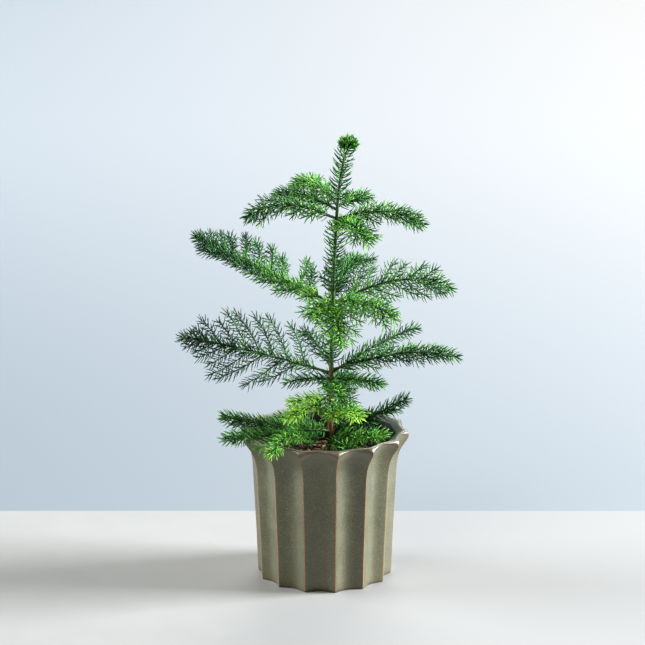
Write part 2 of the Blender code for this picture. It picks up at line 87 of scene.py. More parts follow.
class Wiring:
    """Adds and links the nodes of one node tree.

    A Mix node's colour sockets go by number, because their names occur more than once.
    """

    first_colour, second_colour, mixed_colour = 6, 7, 2

    def __init__(self, tree: bpy.types.NodeTree) -> None:
        """Start with a material's or a group's node tree."""
        self.tree = tree

    @cached_property
    def place(self) -> bpy.types.NodeSocket:
        """The place on the object, in its own coordinates."""
        return self.node("TexCoord").outputs["Object"]

    def node(self, kind: str, inputs: dict | None = None, **settings: object) -> bpy.types.Node:
        """Add a node.

        Args:
            kind: the node's type, without the word ShaderNode in front.
            inputs: values or sockets for its inputs, by name or number.
            settings: its own properties, by name.

        Returns:
            The new node.
        """
        node = self.tree.nodes.new(f"ShaderNode{kind}")
        for name, value in settings.items():
            setattr(node, name, value)
        for name, value in (inputs or {}).items():
            self.feed(node.inputs[name], value)
        return node

    def feed(self, socket: bpy.types.NodeSocket, value: object) -> None:
        """Link a socket into an input, or set the input's value.

        Args:
            socket: the input to feed.
            value: an output socket, a number, or a colour of three numbers.
        """
        if isinstance(value, bpy.types.NodeSocket):
            self.tree.links.new(value, socket)
        elif isinstance(value, tuple) and socket.type == "RGBA":
            socket.default_value = (*value, 1.0)
        else:
            socket.default_value = value

    def axis(self, name: str) -> bpy.types.NodeSocket:
        """The X, the Y or the Z of the place on the object."""
        return self.node("SeparateXYZ", {0: self.place}).outputs[name]

    def mask(self, name: str) -> bpy.types.NodeSocket:
        """A value that the mesh carries at its points, by name."""
        return self.node("Attribute", attribute_name=name).outputs["Fac"]

    def math(self, operation: str, first: object, second: object) -> bpy.types.NodeSocket:
        """The result of a Math node for two numbers or sockets."""
        return self.node("Math", {0: first, 1: second}, operation=operation).outputs[0]

    def times(self, first: object, second: object) -> bpy.types.NodeSocket:
        """One number or socket times another."""
        return self.math("MULTIPLY", first, second)

    def plus(self, first: object, second: object) -> bpy.types.NodeSocket:
        """One number or socket added to another."""
        return self.math("ADD", first, second)

    def noise(self, scale: object, detail: float, roughness: float = 0.5) -> bpy.types.NodeSocket:
        """A cloud of noise over the object, of a scale and with the detail and roughness of finer clouds."""
        inputs = {"Vector": self.place, "Scale": scale, "Detail": detail, "Roughness": roughness}
        return self.node("TexNoise", inputs).outputs[0]

    def ramp(self, value: object, low: float, high: float) -> bpy.types.NodeSocket:
        """A smooth step of a socket, from 0 at low to 1 at high, which may be below low."""
        inputs = {"Value": value, "From Min": low, "From Max": high}
        return self.node("MapRange", inputs, interpolation_type="SMOOTHSTEP").outputs["Result"]

    def mix(self, share: object, first: object, second: object) -> bpy.types.NodeSocket:
        """A mix of two colours, with the share of the second."""
        inputs = {"Factor": share, self.first_colour: first, self.second_colour: second}
        return self.node("Mix", inputs, data_type="RGBA").outputs[self.mixed_colour]

    def group(self, tree: bpy.types.NodeTree, inputs: dict) -> bpy.types.Node:
        """Place a node group.

        Args:
            tree: the group's tree.
            inputs: values or sockets for its inputs, by name.

        Returns:
            The group's node.
        """
        node = self.node("Group", node_tree=tree)
        for name, value in inputs.items():
            self.feed(node.inputs[name], value)
        return node


@dataclass(frozen=True)
class Effect:
    """A shared effect: a node group with named inputs and outputs, built once."""

    name: str
    inputs: tuple[tuple[str, str, object], ...]
    outputs: tuple[tuple[str, str], ...]

    def tree(self) -> bpy.types.NodeTree:
        """The group's tree, built when it is first asked for.

        Returns:
            The node tree to place in a material.
        """
        known = bpy.data.node_groups.get(self.name)
        if known:
            return known
        tree = bpy.data.node_groups.new(self.name, "ShaderNodeTree")
        for name, kind, value in self.inputs:
            socket = tree.interface.new_socket(name, in_out="INPUT", socket_type=f"NodeSocket{kind}")
            socket.default_value = value
        for name, kind in self.outputs:
            tree.interface.new_socket(name, in_out="OUTPUT", socket_type=f"NodeSocket{kind}")
        self.wire(Wiring(tree), tree.nodes.new("NodeGroupInput"), tree.nodes.new("NodeGroupOutput"))
        return tree

    def wire(self, wiring: Wiring, given: bpy.types.Node, put: bpy.types.Node) -> None:
        """Fill the group; each kind of effect does it in its own way.

        Args:
            wiring: the group's wiring.
            given: the node whose outputs are the group's inputs.
            put: the node whose inputs are the group's outputs.
        """
        raise NotImplementedError


class Mottle(Effect):
    """Cloudy patches that drift between two colours, with a finer cloud on top."""

    finer = 5.3
    finer_share = 0.35
    details = (3.0, 2.0)
    turns = (0.36, 0.64)

    def wire(self, wiring: Wiring, given: bpy.types.Node, put: bpy.types.Node) -> None:
        """Fill the group with two clouds of noise and the mix that they steer.

        Args:
            wiring: the group's wiring.
            given: the node that gives the scale and the two colours.
            put: the node that takes the colour and the second colour's share.
        """
        scale, first, second = (given.outputs[name] for name in ("Scale", "First", "Second"))
        broad, fine = self.details
        clouds = {0: self.finer_share, 2: wiring.noise(scale, broad),
                  3: wiring.noise(wiring.times(scale, self.finer), fine)}
        both = wiring.node("Mix", clouds, data_type="FLOAT").outputs[0]
        share = wiring.ramp(both, *self.turns)
        wiring.feed(put.inputs["Color"], wiring.mix(share, first, second))
        wiring.feed(put.inputs["Share"], share)


class Speckle(Effect):
    """Fine grains, some darker and some lighter, such as satin glazes and bark show."""

    detail = 2.0
    harshness = 0.7
    dark_turns = (0.50, 0.34)
    light_turns = (0.54, 0.68)

    def wire(self, wiring: Wiring, given: bpy.types.Node, put: bpy.types.Node) -> None:
        """Fill the group with a grain of noise and the height that goes with it.

        Args:
            wiring: the group's wiring.
            given: the node that gives the scale, the amount and the three colours.
            put: the node that takes the colour and the height.
        """
        grain = wiring.noise(given.outputs["Scale"], self.detail, self.harshness)
        colour = given.outputs["Color"]
        for turns, name in ((self.dark_turns, "Dark"), (self.light_turns, "Light")):
            share = wiring.times(wiring.ramp(grain, *turns), given.outputs["Amount"])
            colour = wiring.mix(share, colour, given.outputs[name])
        wiring.feed(put.inputs["Color"], colour)
        wiring.feed(put.inputs["Height"], grain)


WHITE = (1.0, 1.0, 1.0, 1.0)
MOTTLE = Mottle(
    "mottle",
    (("Scale", "Float", 30.0), ("First", "Color", WHITE), ("Second", "Color", WHITE)),
    (("Color", "Color"), ("Share", "Float")),
)
SPECKLE = Speckle(
    "speckle",
    (("Scale", "Float", 900.0), ("Amount", "Float", 0.5), ("Color", "Color", WHITE),
     ("Dark", "Color", WHITE), ("Light", "Color", WHITE)),
    (("Color", "Color"), ("Height", "Float")),
)


@dataclass(frozen=True)
class Finish:
    """What every finish has: a name, two mottled colours, a roughness and a fine relief.

    patch is how fine the mottling is, relief how deep the surface is embossed, and shine how much it
    reflects.
    """

    name: str
    first: Colour
    second: Colour
    roughness: float
    patch: float = 40.0
    relief: float = 0.0
    shine: float = 0.5

    def material(self) -> bpy.types.Material:
        """The finish as a material, built when it is first asked for.

        Returns:
            The material.
        """
        known = bpy.data.materials.get(self.name)
        if known:
            return known
        material = bpy.data.materials.new(self.name)
        material.use_nodes = True
        shader = material.node_tree.nodes["Principled BSDF"]
        shader.inputs["Roughness"].default_value = self.roughness
        shader.inputs["Specular IOR Level"].default_value = self.shine
        self.dress(Wiring(material.node_tree), shader)
        return material

    def dress(self, wiring: Wiring, shader: bpy.types.Node) -> None:
        """Feed the shader; a plain finish is mottled and has a fine relief.

        Args:
            wiring: the material's wiring.
            shader: its Principled shader.
        """
        mottle = self.mottled(wiring)
        wiring.feed(shader.inputs["Base Color"], mottle.outputs["Color"])
        if self.relief:
            self.emboss(wiring, shader, mottle.outputs["Share"])

    def mottled(self, wiring: Wiring) -> bpy.types.Node:
        """The mottle of the finish's two colours, placed in a material."""
        return wiring.group(MOTTLE.tree(), {"Scale": self.patch, "First": self.first, "Second": self.second})

    def emboss(self, wiring: Wiring, shader: bpy.types.Node, height: bpy.types.NodeSocket) -> None:
        """Give the surface a fine relief that follows a socket's value."""
        bump = wiring.node("Bump", {"Height": height, "Distance": self.relief, "Strength": 1.0})
        wiring.feed(shader.inputs["Normal"], bump.outputs["Normal"])


@dataclass(frozen=True)
class Glaze(Finish):
    """A satin stoneware glaze: speckled, paler low and high, worn to the clay and burnt at its edges.

    The paling towards the foot is painted bounce light from the floor, and the band towards the rim makes
    the glaze lighter there. Each paler band gives the height where it starts, the height where it is full,
    and its share. The turns say where a mark of wear starts to show and where it is full, and the noises how
    much an uneven cloud adds to it.
    """

    dark: Colour = (0.03, 0.03, 0.02)
    light: Colour = (0.205, 0.205, 0.13)
    speckle: float = 0.72
    grain: float = 950.0
    # Paler colour: towards the foot it is painted bounce light from the floor, towards the rim the glaze is
    # made lighter.
    pooled: Colour = (0.17, 0.158, 0.095)
    pools: tuple[tuple[float, float, float], ...] = ((90.0 * MM, 0.0, 0.16), (122.0 * MM, 149.0 * MM, 0.40))
    uneven: float = 160.0
    uneven_detail: float = 3.0
    clay: Colour = (0.34, 0.115, 0.032)
    clay_turns: Span = (0.72, 1.02)
    clay_noise: float = 0.5
    clay_share: float = 0.85
    clay_roughness: float = 0.2
    burnt: Colour = (0.075, 0.028, 0.012)
    burnt_turns: Span = (0.84, 1.02)
    burnt_noise: float = 0.9
    burnt_share: float = 0.9
    # A dark band at the foot: the bare brown foot, and also painted contact shadow where the pot meets the
    # floor.
    foot_line: float = 2.0 * MM
    foot_fade: float = 0.2 * MM
    cloud_roughness: float = 0.08
    coat: float = 1.0
    coat_roughness: float = 0.40

    def dress(self, wiring: Wiring, shader: bpy.types.Node) -> None:
        """Feed the shader with the glaze, then the clay and the burns at ridges and edges, and at the foot a
        dark band that is both the bare brown foot and a painted contact shadow.

        Args:
            wiring: the material's wiring.
            shader: its Principled shader.
        """
        mottle = self.mottled(wiring)
        speckle = wiring.group(SPECKLE.tree(), {
            "Scale": self.grain, "Amount": self.speckle, "Color": mottle.outputs["Color"],
            "Dark": self.dark, "Light": self.light})
        uneven = wiring.noise(self.uneven, self.uneven_detail)
        worn, edge = (
            wiring.ramp(wiring.plus(wiring.mask(name), wiring.times(uneven, amount)), *turns)
            for name, amount, turns in (("ridge", self.clay_noise, self.clay_turns),
                                        ("lip", self.burnt_noise, self.burnt_turns)))
        up = wiring.axis("Z")
        # Painted bounce light near the foot, and a lighter glaze towards the rim.
        paling = wiring.plus(*(wiring.times(wiring.ramp(up, start, full), share)
                             for start, full, share in self.pools))
        # The foot band: bare brown foot and painted contact shadow.
        above = wiring.math("SUBTRACT", up, wiring.times(uneven, self.foot_line))
        foot = wiring.ramp(above, self.foot_line, self.foot_fade)
        colour = wiring.mix(paling, speckle.outputs["Color"], self.pooled)
        for mark, share, shown in ((worn, self.clay_share, self.clay), (edge, self.burnt_share, self.burnt),
                                   (foot, self.burnt_share, self.burnt)):
            colour = wiring.mix(wiring.times(mark, share), colour, shown)
        wiring.feed(shader.inputs["Base Color"], colour)
        rough = wiring.plus(wiring.times(mottle.outputs["Share"], self.cloud_roughness), self.roughness)
        wiring.feed(shader.inputs["Roughness"], wiring.plus(rough, wiring.times(worn, self.clay_roughness)))
        shader.inputs["Coat Weight"].default_value = self.coat
        shader.inputs["Coat Roughness"].default_value = self.coat_roughness
        self.emboss(wiring, shader, speckle.outputs["Height"])


@dataclass(frozen=True)
class Bark(Finish):
    """Bark that is brown and flaky low down and turns to green skin at a height."""

    brown: Colour = (0.14, 0.050, 0.018)
    tan: Colour = (0.30, 0.125, 0.045)
    dark: Colour = (0.04, 0.018, 0.010)
    light: Colour = (0.38, 0.19, 0.085)
    brown_patch: float = 374.0
    grain: float = 1400.0
    speckle: float = 0.5
    turns: Span = (190.0 * MM, 222.0 * MM)
    blotch: float = 150.0
    blotch_detail: float = 2.0
    drift: float = 60.0 * MM

    def dress(self, wiring: Wiring, shader: bpy.types.Node) -> None:
        """Feed the shader with green skin above and brown bark below.

        Args:
            wiring: the material's wiring.
            shader: its Principled shader.
        """
        green = self.mottled(wiring)
        old = wiring.group(MOTTLE.tree(), {"Scale": self.brown_patch, "First": self.brown,
                                           "Second": self.tan})
        speckle = wiring.group(SPECKLE.tree(), {
            "Scale": self.grain, "Amount": self.speckle, "Color": old.outputs["Color"],
            "Dark": self.dark, "Light": self.light})
        blotch = wiring.math("SUBTRACT", wiring.noise(self.blotch, self.blotch_detail), 0.5)
        share = wiring.ramp(wiring.plus(wiring.axis("Z"), wiring.times(blotch, self.drift)), *self.turns)
        wiring.feed(shader.inputs["Base Color"],
                    wiring.mix(share, speckle.outputs["Color"], green.outputs["Color"]))
        self.emboss(wiring, shader, speckle.outputs["Height"])


@dataclass(frozen=True)
class Backdrop(Finish):
    """The pale floor, which turns to a cooler blue-grey far behind the plant.

    Each pair of colours runs from the left to the right. Far behind, both pairs run from darker at the left
    to lighter at the right, and the far colours grow lighter further back: painted light and shade. The
    floor's right side carries a faint painted shade. The turns say where along X or Y one colour starts to
    give way to the next and where it has gone.
    """

    # Painted light and shade far behind: darker at the left, lighter at the right and further back.
    far_low: tuple[Colour, Colour] = ((0.244, 0.284, 0.321), (0.352, 0.374, 0.388))
    far_high: tuple[Colour, Colour] = ((0.364, 0.403, 0.440), (0.456, 0.442, 0.424))
    # Painted shade on the floor's right side, against the key lamp's light.
    near_right: Colour = (0.394, 0.393, 0.388)
    near_turns: Span = (-0.20, 0.10)
    far_turns: Span = (-0.9, 1.3)
    far_edge: Span = (0.19, 0.192)
    far_rise: Span = (0.19, 2.39)

    def dress(self, wiring: Wiring, shader: bpy.types.Node) -> None:
        """Feed the shader with the pale floor in front, with a faint painted shade on its right, and the
        cooler blue-grey far behind, with painted light and shade across it.

        Args:
            wiring: the material's wiring.
            shader: its Principled shader.
        """
        across, back = wiring.axis("X"), wiring.axis("Y")
        # Painted light and shade across the far floor, from the darker left to the lighter right.
        painted_light_across = wiring.ramp(across, *self.far_turns)
        far = wiring.mix(wiring.ramp(back, *self.far_rise), wiring.mix(painted_light_across, *self.far_low),
                         wiring.mix(painted_light_across, *self.far_high))
        # Painted shade on the right side of the near floor.
        near = wiring.mix(wiring.ramp(across, *self.near_turns), self.mottled(wiring).outputs["Color"],
                          self.near_right)
        wiring.feed(shader.inputs["Base Color"], wiring.mix(wiring.ramp(back, *self.far_edge), near, far))


POT_GLAZE = Glaze("pot_glaze", (0.061, 0.060, 0.014), (0.092, 0.091, 0.025), 0.38, patch=55.0,
                  relief=0.05 * MM, shine=0.7)
INNER_GLAZE = Glaze("inner_glaze", (0.145, 0.165, 0.140), (0.215, 0.240, 0.200), 0.38, patch=50.0,
                    relief=0.05 * MM, shine=0.4, grain=900.0, dark=(0.08, 0.09, 0.07), speckle=0.35,
                    pooled=(0.19, 0.215, 0.18), coat=0.2)
# Painted shade: the lower inside wall gets a near-black colour for the shade in the pot's hollow.
WELL_PAINTED_SHADE = Finish("well_glaze", (0.020, 0.022, 0.013), (0.034, 0.036, 0.022), 0.60,
                    relief=0.05 * MM, shine=0.3)
BARE_CLAY = Finish("bare_clay", (0.26, 0.13, 0.07), (0.34, 0.19, 0.11), 0.85, relief=0.15 * MM)
TRUNK_BARK = Bark("trunk_bark", (0.022, 0.060, 0.016), (0.060, 0.115, 0.030), 0.66, patch=220.0,
                  relief=0.25 * MM)
TWIG_SKIN = Finish("twig_skin", (0.030, 0.066, 0.020), (0.075, 0.125, 0.034), 0.60, patch=150.0,
                   relief=0.10 * MM)
POTTING_BARK = Finish("potting_bark", (0.030, 0.017, 0.010), (0.085, 0.045, 0.024), 0.92, patch=160.0,
                      relief=0.6 * MM)
CHIP_FINISHES = tuple(
    Finish(f"chip_{name}", first, second, roughness, patch=260.0, relief=0.3 * MM)
    for name, first, second, roughness in (
        ("dark", (0.070, 0.038, 0.022), (0.140, 0.078, 0.042), 0.90),
        ("brown", (0.180, 0.098, 0.052), (0.300, 0.170, 0.092), 0.88),
        ("tan", (0.360, 0.250, 0.150), (0.560, 0.420, 0.270), 0.86),
    )
)
FLOOR = Backdrop("pale_floor", (0.386, 0.386, 0.380), (0.405, 0.404, 0.396), 0.60, patch=6.0, shine=0.1)
NEEDLE_TONE_SPREAD = 0.18
NEEDLE_ROUGHNESS = 0.44
NEEDLE_PATCH = 120.0
NEEDLE_SHINE = 0.2


def needle_finish(tone: Tone) -> Finish:
    """The finish of the needles of one tone.

    Args:
        tone: the needles' green.

    Returns:
        A finish whose two colours lie a little to either side of the tone.
    """
    darker, lighter = (tuple(part * (1.0 + turn * NEEDLE_TONE_SPREAD) for part in tone.value)
                       for turn in (-1, 1))
    return Finish(f"needle_{tone.label}", darker, lighter, NEEDLE_ROUGHNESS, patch=NEEDLE_PATCH,
                  shine=NEEDLE_SHINE)


@dataclass
class Shape:
    """Points and faces gathered from many parts, to be made into one mesh."""

    points: list[np.ndarray] = field(default_factory=list)
    quads: list[np.ndarray] = field(default_factory=list)
    triangles: list[np.ndarray] = field(default_factory=list)
    count: int = 0

    def add(self, points: np.ndarray, quads: np.ndarray, triangles: np.ndarray) -> None:
        """Take in a part.

        Args:
            points: its points, one row each.
            quads: its four-sided faces, as numbers of its own points.
            triangles: its three-sided faces, likewise.
        """
        self.points.append(points)
        self.quads.append(quads + self.count)
        self.triangles.append(triangles + self.count)
        self.count += len(points)

    def mesh(self, name: str) -> bpy.types.Mesh:
        """Make the mesh, with the four-sided faces first.

        Args:
            name: the mesh's name.

        Returns:
            The mesh, shaded smooth.
        """
        points, quads, triangles = map(np.concatenate, (self.points, self.quads, self.triangles))
        corners = np.concatenate([quads.ravel(), triangles.ravel()])
        sizes = np.repeat([4, 3], [len(quads), len(triangles)])
        mesh = bpy.data.meshes.new(name)
        mesh.vertices.add(len(points))
        mesh.vertices.foreach_set("co", points.astype(np.float32).ravel())
        mesh.loops.add(len(corners))
        mesh.loops.foreach_set("vertex_index", corners.astype(np.int32))
        mesh.polygons.add(len(sizes))
        mesh.polygons.foreach_set("loop_start", (np.cumsum(sizes) - sizes).astype(np.int32))
        mesh.update(calc_edges=True)
        mesh.validate()
        mesh.shade_smooth()
        return mesh


def add_piece(mesh: bpy.types.Mesh, finishes: tuple[Finish, ...], nodes: list[str]) -> None:
    """Put a finished mesh into the scene as a piece of the object, under the mesh's own name.

    Args:
        mesh: its mesh.
        finishes: its finishes, in the order of the mesh's material numbers.
        nodes: the solids that it stands for.
    """
    for finish in finishes:
        mesh.materials.append(finish.material())
    piece = bpy.data.objects.new(mesh.name, mesh)
    bpy.context.scene.collection.objects.link(piece)
    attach(piece, "root")
    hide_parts(*nodes)
    log.info("%s: %d faces, stands for %d solids", piece.name, len(mesh.polygons), len(nodes))


def unit(rows: np.ndarray) -> np.ndarray:
    """Each row scaled to length one."""
    return rows / np.linalg.norm(rows, axis=-1, keepdims=True)


def between(first: Amount, second: Amount, share: Amount) -> Amount:
    """The value that lies a share of the way from the first to the second."""
    return first + (second - first) * share


def ring_quads(rings: int, count: int) -> np.ndarray:
    """The faces between rings of points that follow each other.

    Args:
        rings: how many rings there are.
        count: how many points each has.

    Returns:
        The four-sided faces, facing outward where the rings run anticlockwise and upward.
    """
    row, column = np.meshgrid(np.arange(rings - 1), np.arange(count), indexing="ij")
    first = row * count + column
    second = row * count + (column + 1) % count
    return np.stack([first, second, second + count, first + count], axis=-1).reshape(-1, 4)


def closed_faces(rings: int, count: int) -> Faces:
    """The faces of rings that are closed at both ends, each with one more point after the rings.

    Args:
        rings: how many rings there are.
        count: how many points each has.

    Returns:
        The four-sided faces, and the three-sided ones of the first end and then of the last.
    """
    around = np.arange(count)
    after = (around + 1) % count
    total, last = rings * count, (rings - 1) * count
    first_end = np.stack([after, around, np.full(count, total)], axis=-1)
    last_end = np.stack([last + around, last + after, np.full(count, total + 1)], axis=-1)
    return ring_quads(rings, count), np.concatenate([first_end, last_end])


class PotPart(Enum):
    """The parts of the pot that have finishes of their own, by the mesh's material number."""

    OUTSIDE = 0
    INSIDE = 1
    FOOT = 2
    WELL = 3


@dataclass
class Turning:
    """The pot's points, turned ring by ring, with the marks of wear that they carry.

    Every ring has the same bearings. depth is how hollow the flute is at each of them, and edge how high
    the arched edge stands there.
    """

    angle: np.ndarray
    across: np.ndarray
    depth: np.ndarray
    edge: np.ndarray
    rings: list[np.ndarray] = field(default_factory=list)
    ridge: list[np.ndarray] = field(default_factory=list)
    lip: list[np.ndarray] = field(default_factory=list)

    def ring(self, radius: np.ndarray, height: Amount, ridge: Amount = 0.0, lip: Amount = 0.0) -> None:
        """Keep one ring of points with its two marks.

        Args:
            radius: how far out its points lie.
            height: how high they lie.
            ridge: how much the glaze is worn there, as along the ridges.
            lip: how much it is burnt there, as along the edge.
        """
        level = np.broadcast_to(height, self.angle.shape)
        right, back = radius * np.sin(self.angle), -radius * np.cos(self.angle)
        self.rings.append(np.stack([right, back, level], axis=-1))
        self.ridge.append(np.broadcast_to(ridge, self.angle.shape))
        self.lip.append(np.broadcast_to(lip, self.angle.shape))


@dataclass
class Pot:
    """The fluted pot, with sharp ridges, hollow flutes, arched edges and a flared lip."""

    rim_radius: float = 84.0 * MM
    height: float = 150.0 * MM
    ridge_tip: float = 142.6 * MM
    edge_drop: float = 1.2 * MM
    edge_sway: float = 0.3 * MM
    flutes: int = 14
    phase: float = math.radians(8.8)
    ridge_sway: float = math.radians(0.25)
    points_a_flute: int = 24
    rows: int = 64
    rows_crowd: float = 1.25
    flute_depth: float = 6.2 * MM
    flute_depth_at_rim: float = 6.5 * MM
    deepening: int = 8
    arch_squareness: float = 0.55
    ridge_softness: float = 0.05
    profile: tuple[Span, ...] = (
        (0.0, 0.786), (0.015, 0.799), (0.26, 0.812), (0.60, 0.842), (0.80, 0.858),
        (0.88, 0.879), (0.935, 0.921), (1.0, 1.0),
    )
    profile_blur: float = 0.02
    profile_samples: int = 9
    lip_inset: float = 2.6 * MM
    lip_wall: float = 4.6 * MM
    lip_spread: Span = (1.2, 0.7)
    lip_rings: int = 5
    crest_rings: int = 3
    crest_drop: float = 1.5 * MM
    flare_rings: int = 8
    flare_power: float = 0.7
    flare_ease: float = 0.6
    well_rings: int = 7
    inner_top: float = 136.0 * MM
    inner_top_radius: float = 64.0 * MM
    inner_foot_radius: float = 57.5 * MM
    floor: float = 7.0 * MM
    break_width: float = 0.95 * MM
    break_loss: float = 0.35
    burn_width: float = 1.5 * MM
    edge_burn: float = 0.9
    lip_burn: float = 0.42
    lip_burn_swing: float = 0.16
    crest_burn: Span = (0.30, 0.06)
    sharp_from: float = math.radians(50.0)
    seed: int = 4

    def inner_radius(self, height: Amount) -> Amount:
        """The inside radius of the pot.

        Args:
            height: one height or many.

        Returns:
            The radius or radii.
        """
        lip = self.rim_radius - self.flute_depth_at_rim - self.lip_wall
        return np.interp(height, (self.floor, self.inner_top, self.height),
                         (self.inner_foot_radius, self.inner_top_radius, lip))

    def outer_radius(self, height: Amount) -> Amount:
        """The radius of the ridges at one height or many."""
        return self.rim_radius * np.interp(np.asarray(height) / self.height, *zip(*self.profile))

    def ridge_radius(self, share: float) -> float:
        """The radius of the ridges, with the profile's corners rounded off.

        Args:
            share: how far up the pot, from 0 to 1.

        Returns:
            The radius.
        """
        offsets = np.linspace(-self.profile_blur, self.profile_blur, self.profile_samples)
        places, values = zip(*self.profile)
        return self.rim_radius * np.mean([np.interp(share + offset, places, values) for offset in offsets])

    def blocks(self, points: np.ndarray, room: float) -> np.ndarray:
        """Which points lie in the pot's wall, in its soil, or too close to them.

        Args:
            points: the points, one row each.
            room: how close is too close.

        Returns:
            True for each point that is in the way.
        """
        out = np.hypot(points[..., 0], points[..., 1])
        up = points[..., 2]
        below = up < self.height + room
        wall = below & (out > self.inner_radius(up) - room) & (out < self.outer_radius(up) + room)
        return wall | ((up < Soil.top + room) & (out < self.rim_radius))

    def build(self) -> None:
        """Turn the pot and add it to the scene."""
        turning = self.lay_out()
        self.turn_outside(turning)
        self.turn_inside(turning)
        rings, count = len(turning.rings), len(turning.angle)
        shape = Shape()
        shape.add(np.concatenate([*turning.rings, [[0.0, 0.0, 0.0]], [[0.0, 0.0, self.floor]]]),
                  *closed_faces(rings, count))
        mesh = shape.mesh("pot_body")
        for name, marks in (("ridge", turning.ridge), ("lip", turning.lip)):
            mask = mesh.attributes.new(name, "FLOAT", "POINT")
            mask.data.foreach_set("value", np.append(np.concatenate(marks), [0.0, 0.0]).astype(np.float32))
        outside, walls = (self.rows + self.lip_rings - 1) * count, (rings - 1) * count
        parts = np.full(len(mesh.polygons), PotPart.INSIDE.value, np.int32)
        parts[:outside] = PotPart.OUTSIDE.value
        # The lower inside wall gets the painted-shade finish.
        parts[walls - self.well_rings * count:walls] = PotPart.WELL.value
        parts[walls:walls + count] = PotPart.FOOT.value
        mesh.polygons.foreach_set("material_index", parts)
        mesh.set_sharp_from_angle(angle=self.sharp_from)
        add_piece(mesh, (POT_GLAZE, INNER_GLAZE, BARE_CLAY, WELL_PAINTED_SHADE), ["pot"])

    def lay_out(self) -> Turning:
        """Set out the flutes round the pot, a little uneven, and the arches of their edges.

        Returns:
            The turning, which has no rings yet.
        """
        draw = np.random.default_rng(self.seed)
        steps = 0.5 - 0.5 * np.cos(math.pi * np.arange(self.points_a_flute) / self.points_a_flute)
        across = np.tile(steps, self.flutes)
        flute = np.repeat(np.arange(self.flutes), self.points_a_flute)
        sway = draw.uniform(-self.ridge_sway, self.ridge_sway, self.flutes + 1)
        sway[-1] = sway[0]
        nudge = sway[flute] * (1.0 - across) + sway[flute + 1] * across
        angle = self.phase + (flute + across) * math.tau / self.flutes + nudge
        depth = np.sin(math.pi * across)
        rise = draw.uniform(-self.edge_sway, self.edge_sway, self.flutes)[flute] * depth
        edge = between(self.ridge_tip, self.height - self.edge_drop, depth ** self.arch_squareness) + rise
        return Turning(angle, across, depth, edge)

    def turn_outside(self, turning: Turning) -> None:
        """Turn the fluted wall from the foot to the arched edge, then the round of the lip.

        Args:
            turning: the rings to add to.
        """
        hollow = np.sqrt(turning.depth ** 2 + self.ridge_softness ** 2) - self.ridge_softness
        near = np.minimum(turning.across, 1.0 - turning.across) * math.tau / self.flutes * self.rim_radius
        worn = np.exp(-(near / self.break_width) ** 2)
        for share in 1.0 - (1.0 - np.linspace(0.0, 1.0, self.rows)) ** self.rows_crowd:
            deepest = between(self.flute_depth, self.flute_depth_at_rim, share ** self.deepening)
            to_edge = (1.0 - share) * turning.edge
            turning.ring(self.ridge_radius(share) - deepest * hollow, share * turning.edge,
                         worn * (1.0 - self.break_loss * share),
                         np.exp(-(to_edge / self.burn_width) ** 2) * self.edge_burn)
        outer = self.rim_radius - self.flute_depth_at_rim * hollow
        inset = self.lip_inset * between(*self.lip_spread, turning.depth)
        crest, lip_end = outer - inset, self.lip_end(turning)
        for step in range(1, self.lip_rings + 1):
            turn = 0.5 * math.pi * step / self.lip_rings
            turning.ring(outer - inset * (1.0 - math.cos(turn)),
                         turning.edge + (self.height - turning.edge) * math.sin(turn),
                         lip=self.lip_burn + self.lip_burn_swing * math.cos(2.0 * turn))
        for step in range(1, self.crest_rings + 1):
            share = step / self.crest_rings
            turning.ring(between(crest, lip_end, share), self.height - self.crest_drop * share ** 2,
                         lip=between(*self.crest_burn, share))

    def lip_end(self, turning: Turning) -> np.ndarray:
        """How far out the lip's crest ends on the inside, at each bearing."""
        inset = (self.lip_inset + self.lip_wall) * between(*self.lip_spread, turning.depth)
        return self.rim_radius - self.flute_depth_at_rim * turning.depth - inset

    def turn_inside(self, turning: Turning) -> None:
        """Turn the flare below the lip and the well, down to the pot's floor.

        Args:
            turning: the rings to add to.
        """
        lip_end = self.lip_end(turning)
        for step in range(1, self.flare_rings + 1):
            share = step / self.flare_rings
            ease = share * share * (3.0 - 2.0 * share)
            fall = between(share, ease, self.flare_ease)
            turning.ring(between(lip_end, self.inner_top_radius, share ** self.flare_power),
                         between(self.height - self.crest_drop, self.inner_top, fall))
        turning.ring(np.full(turning.angle.shape, self.inner_foot_radius), self.floor)


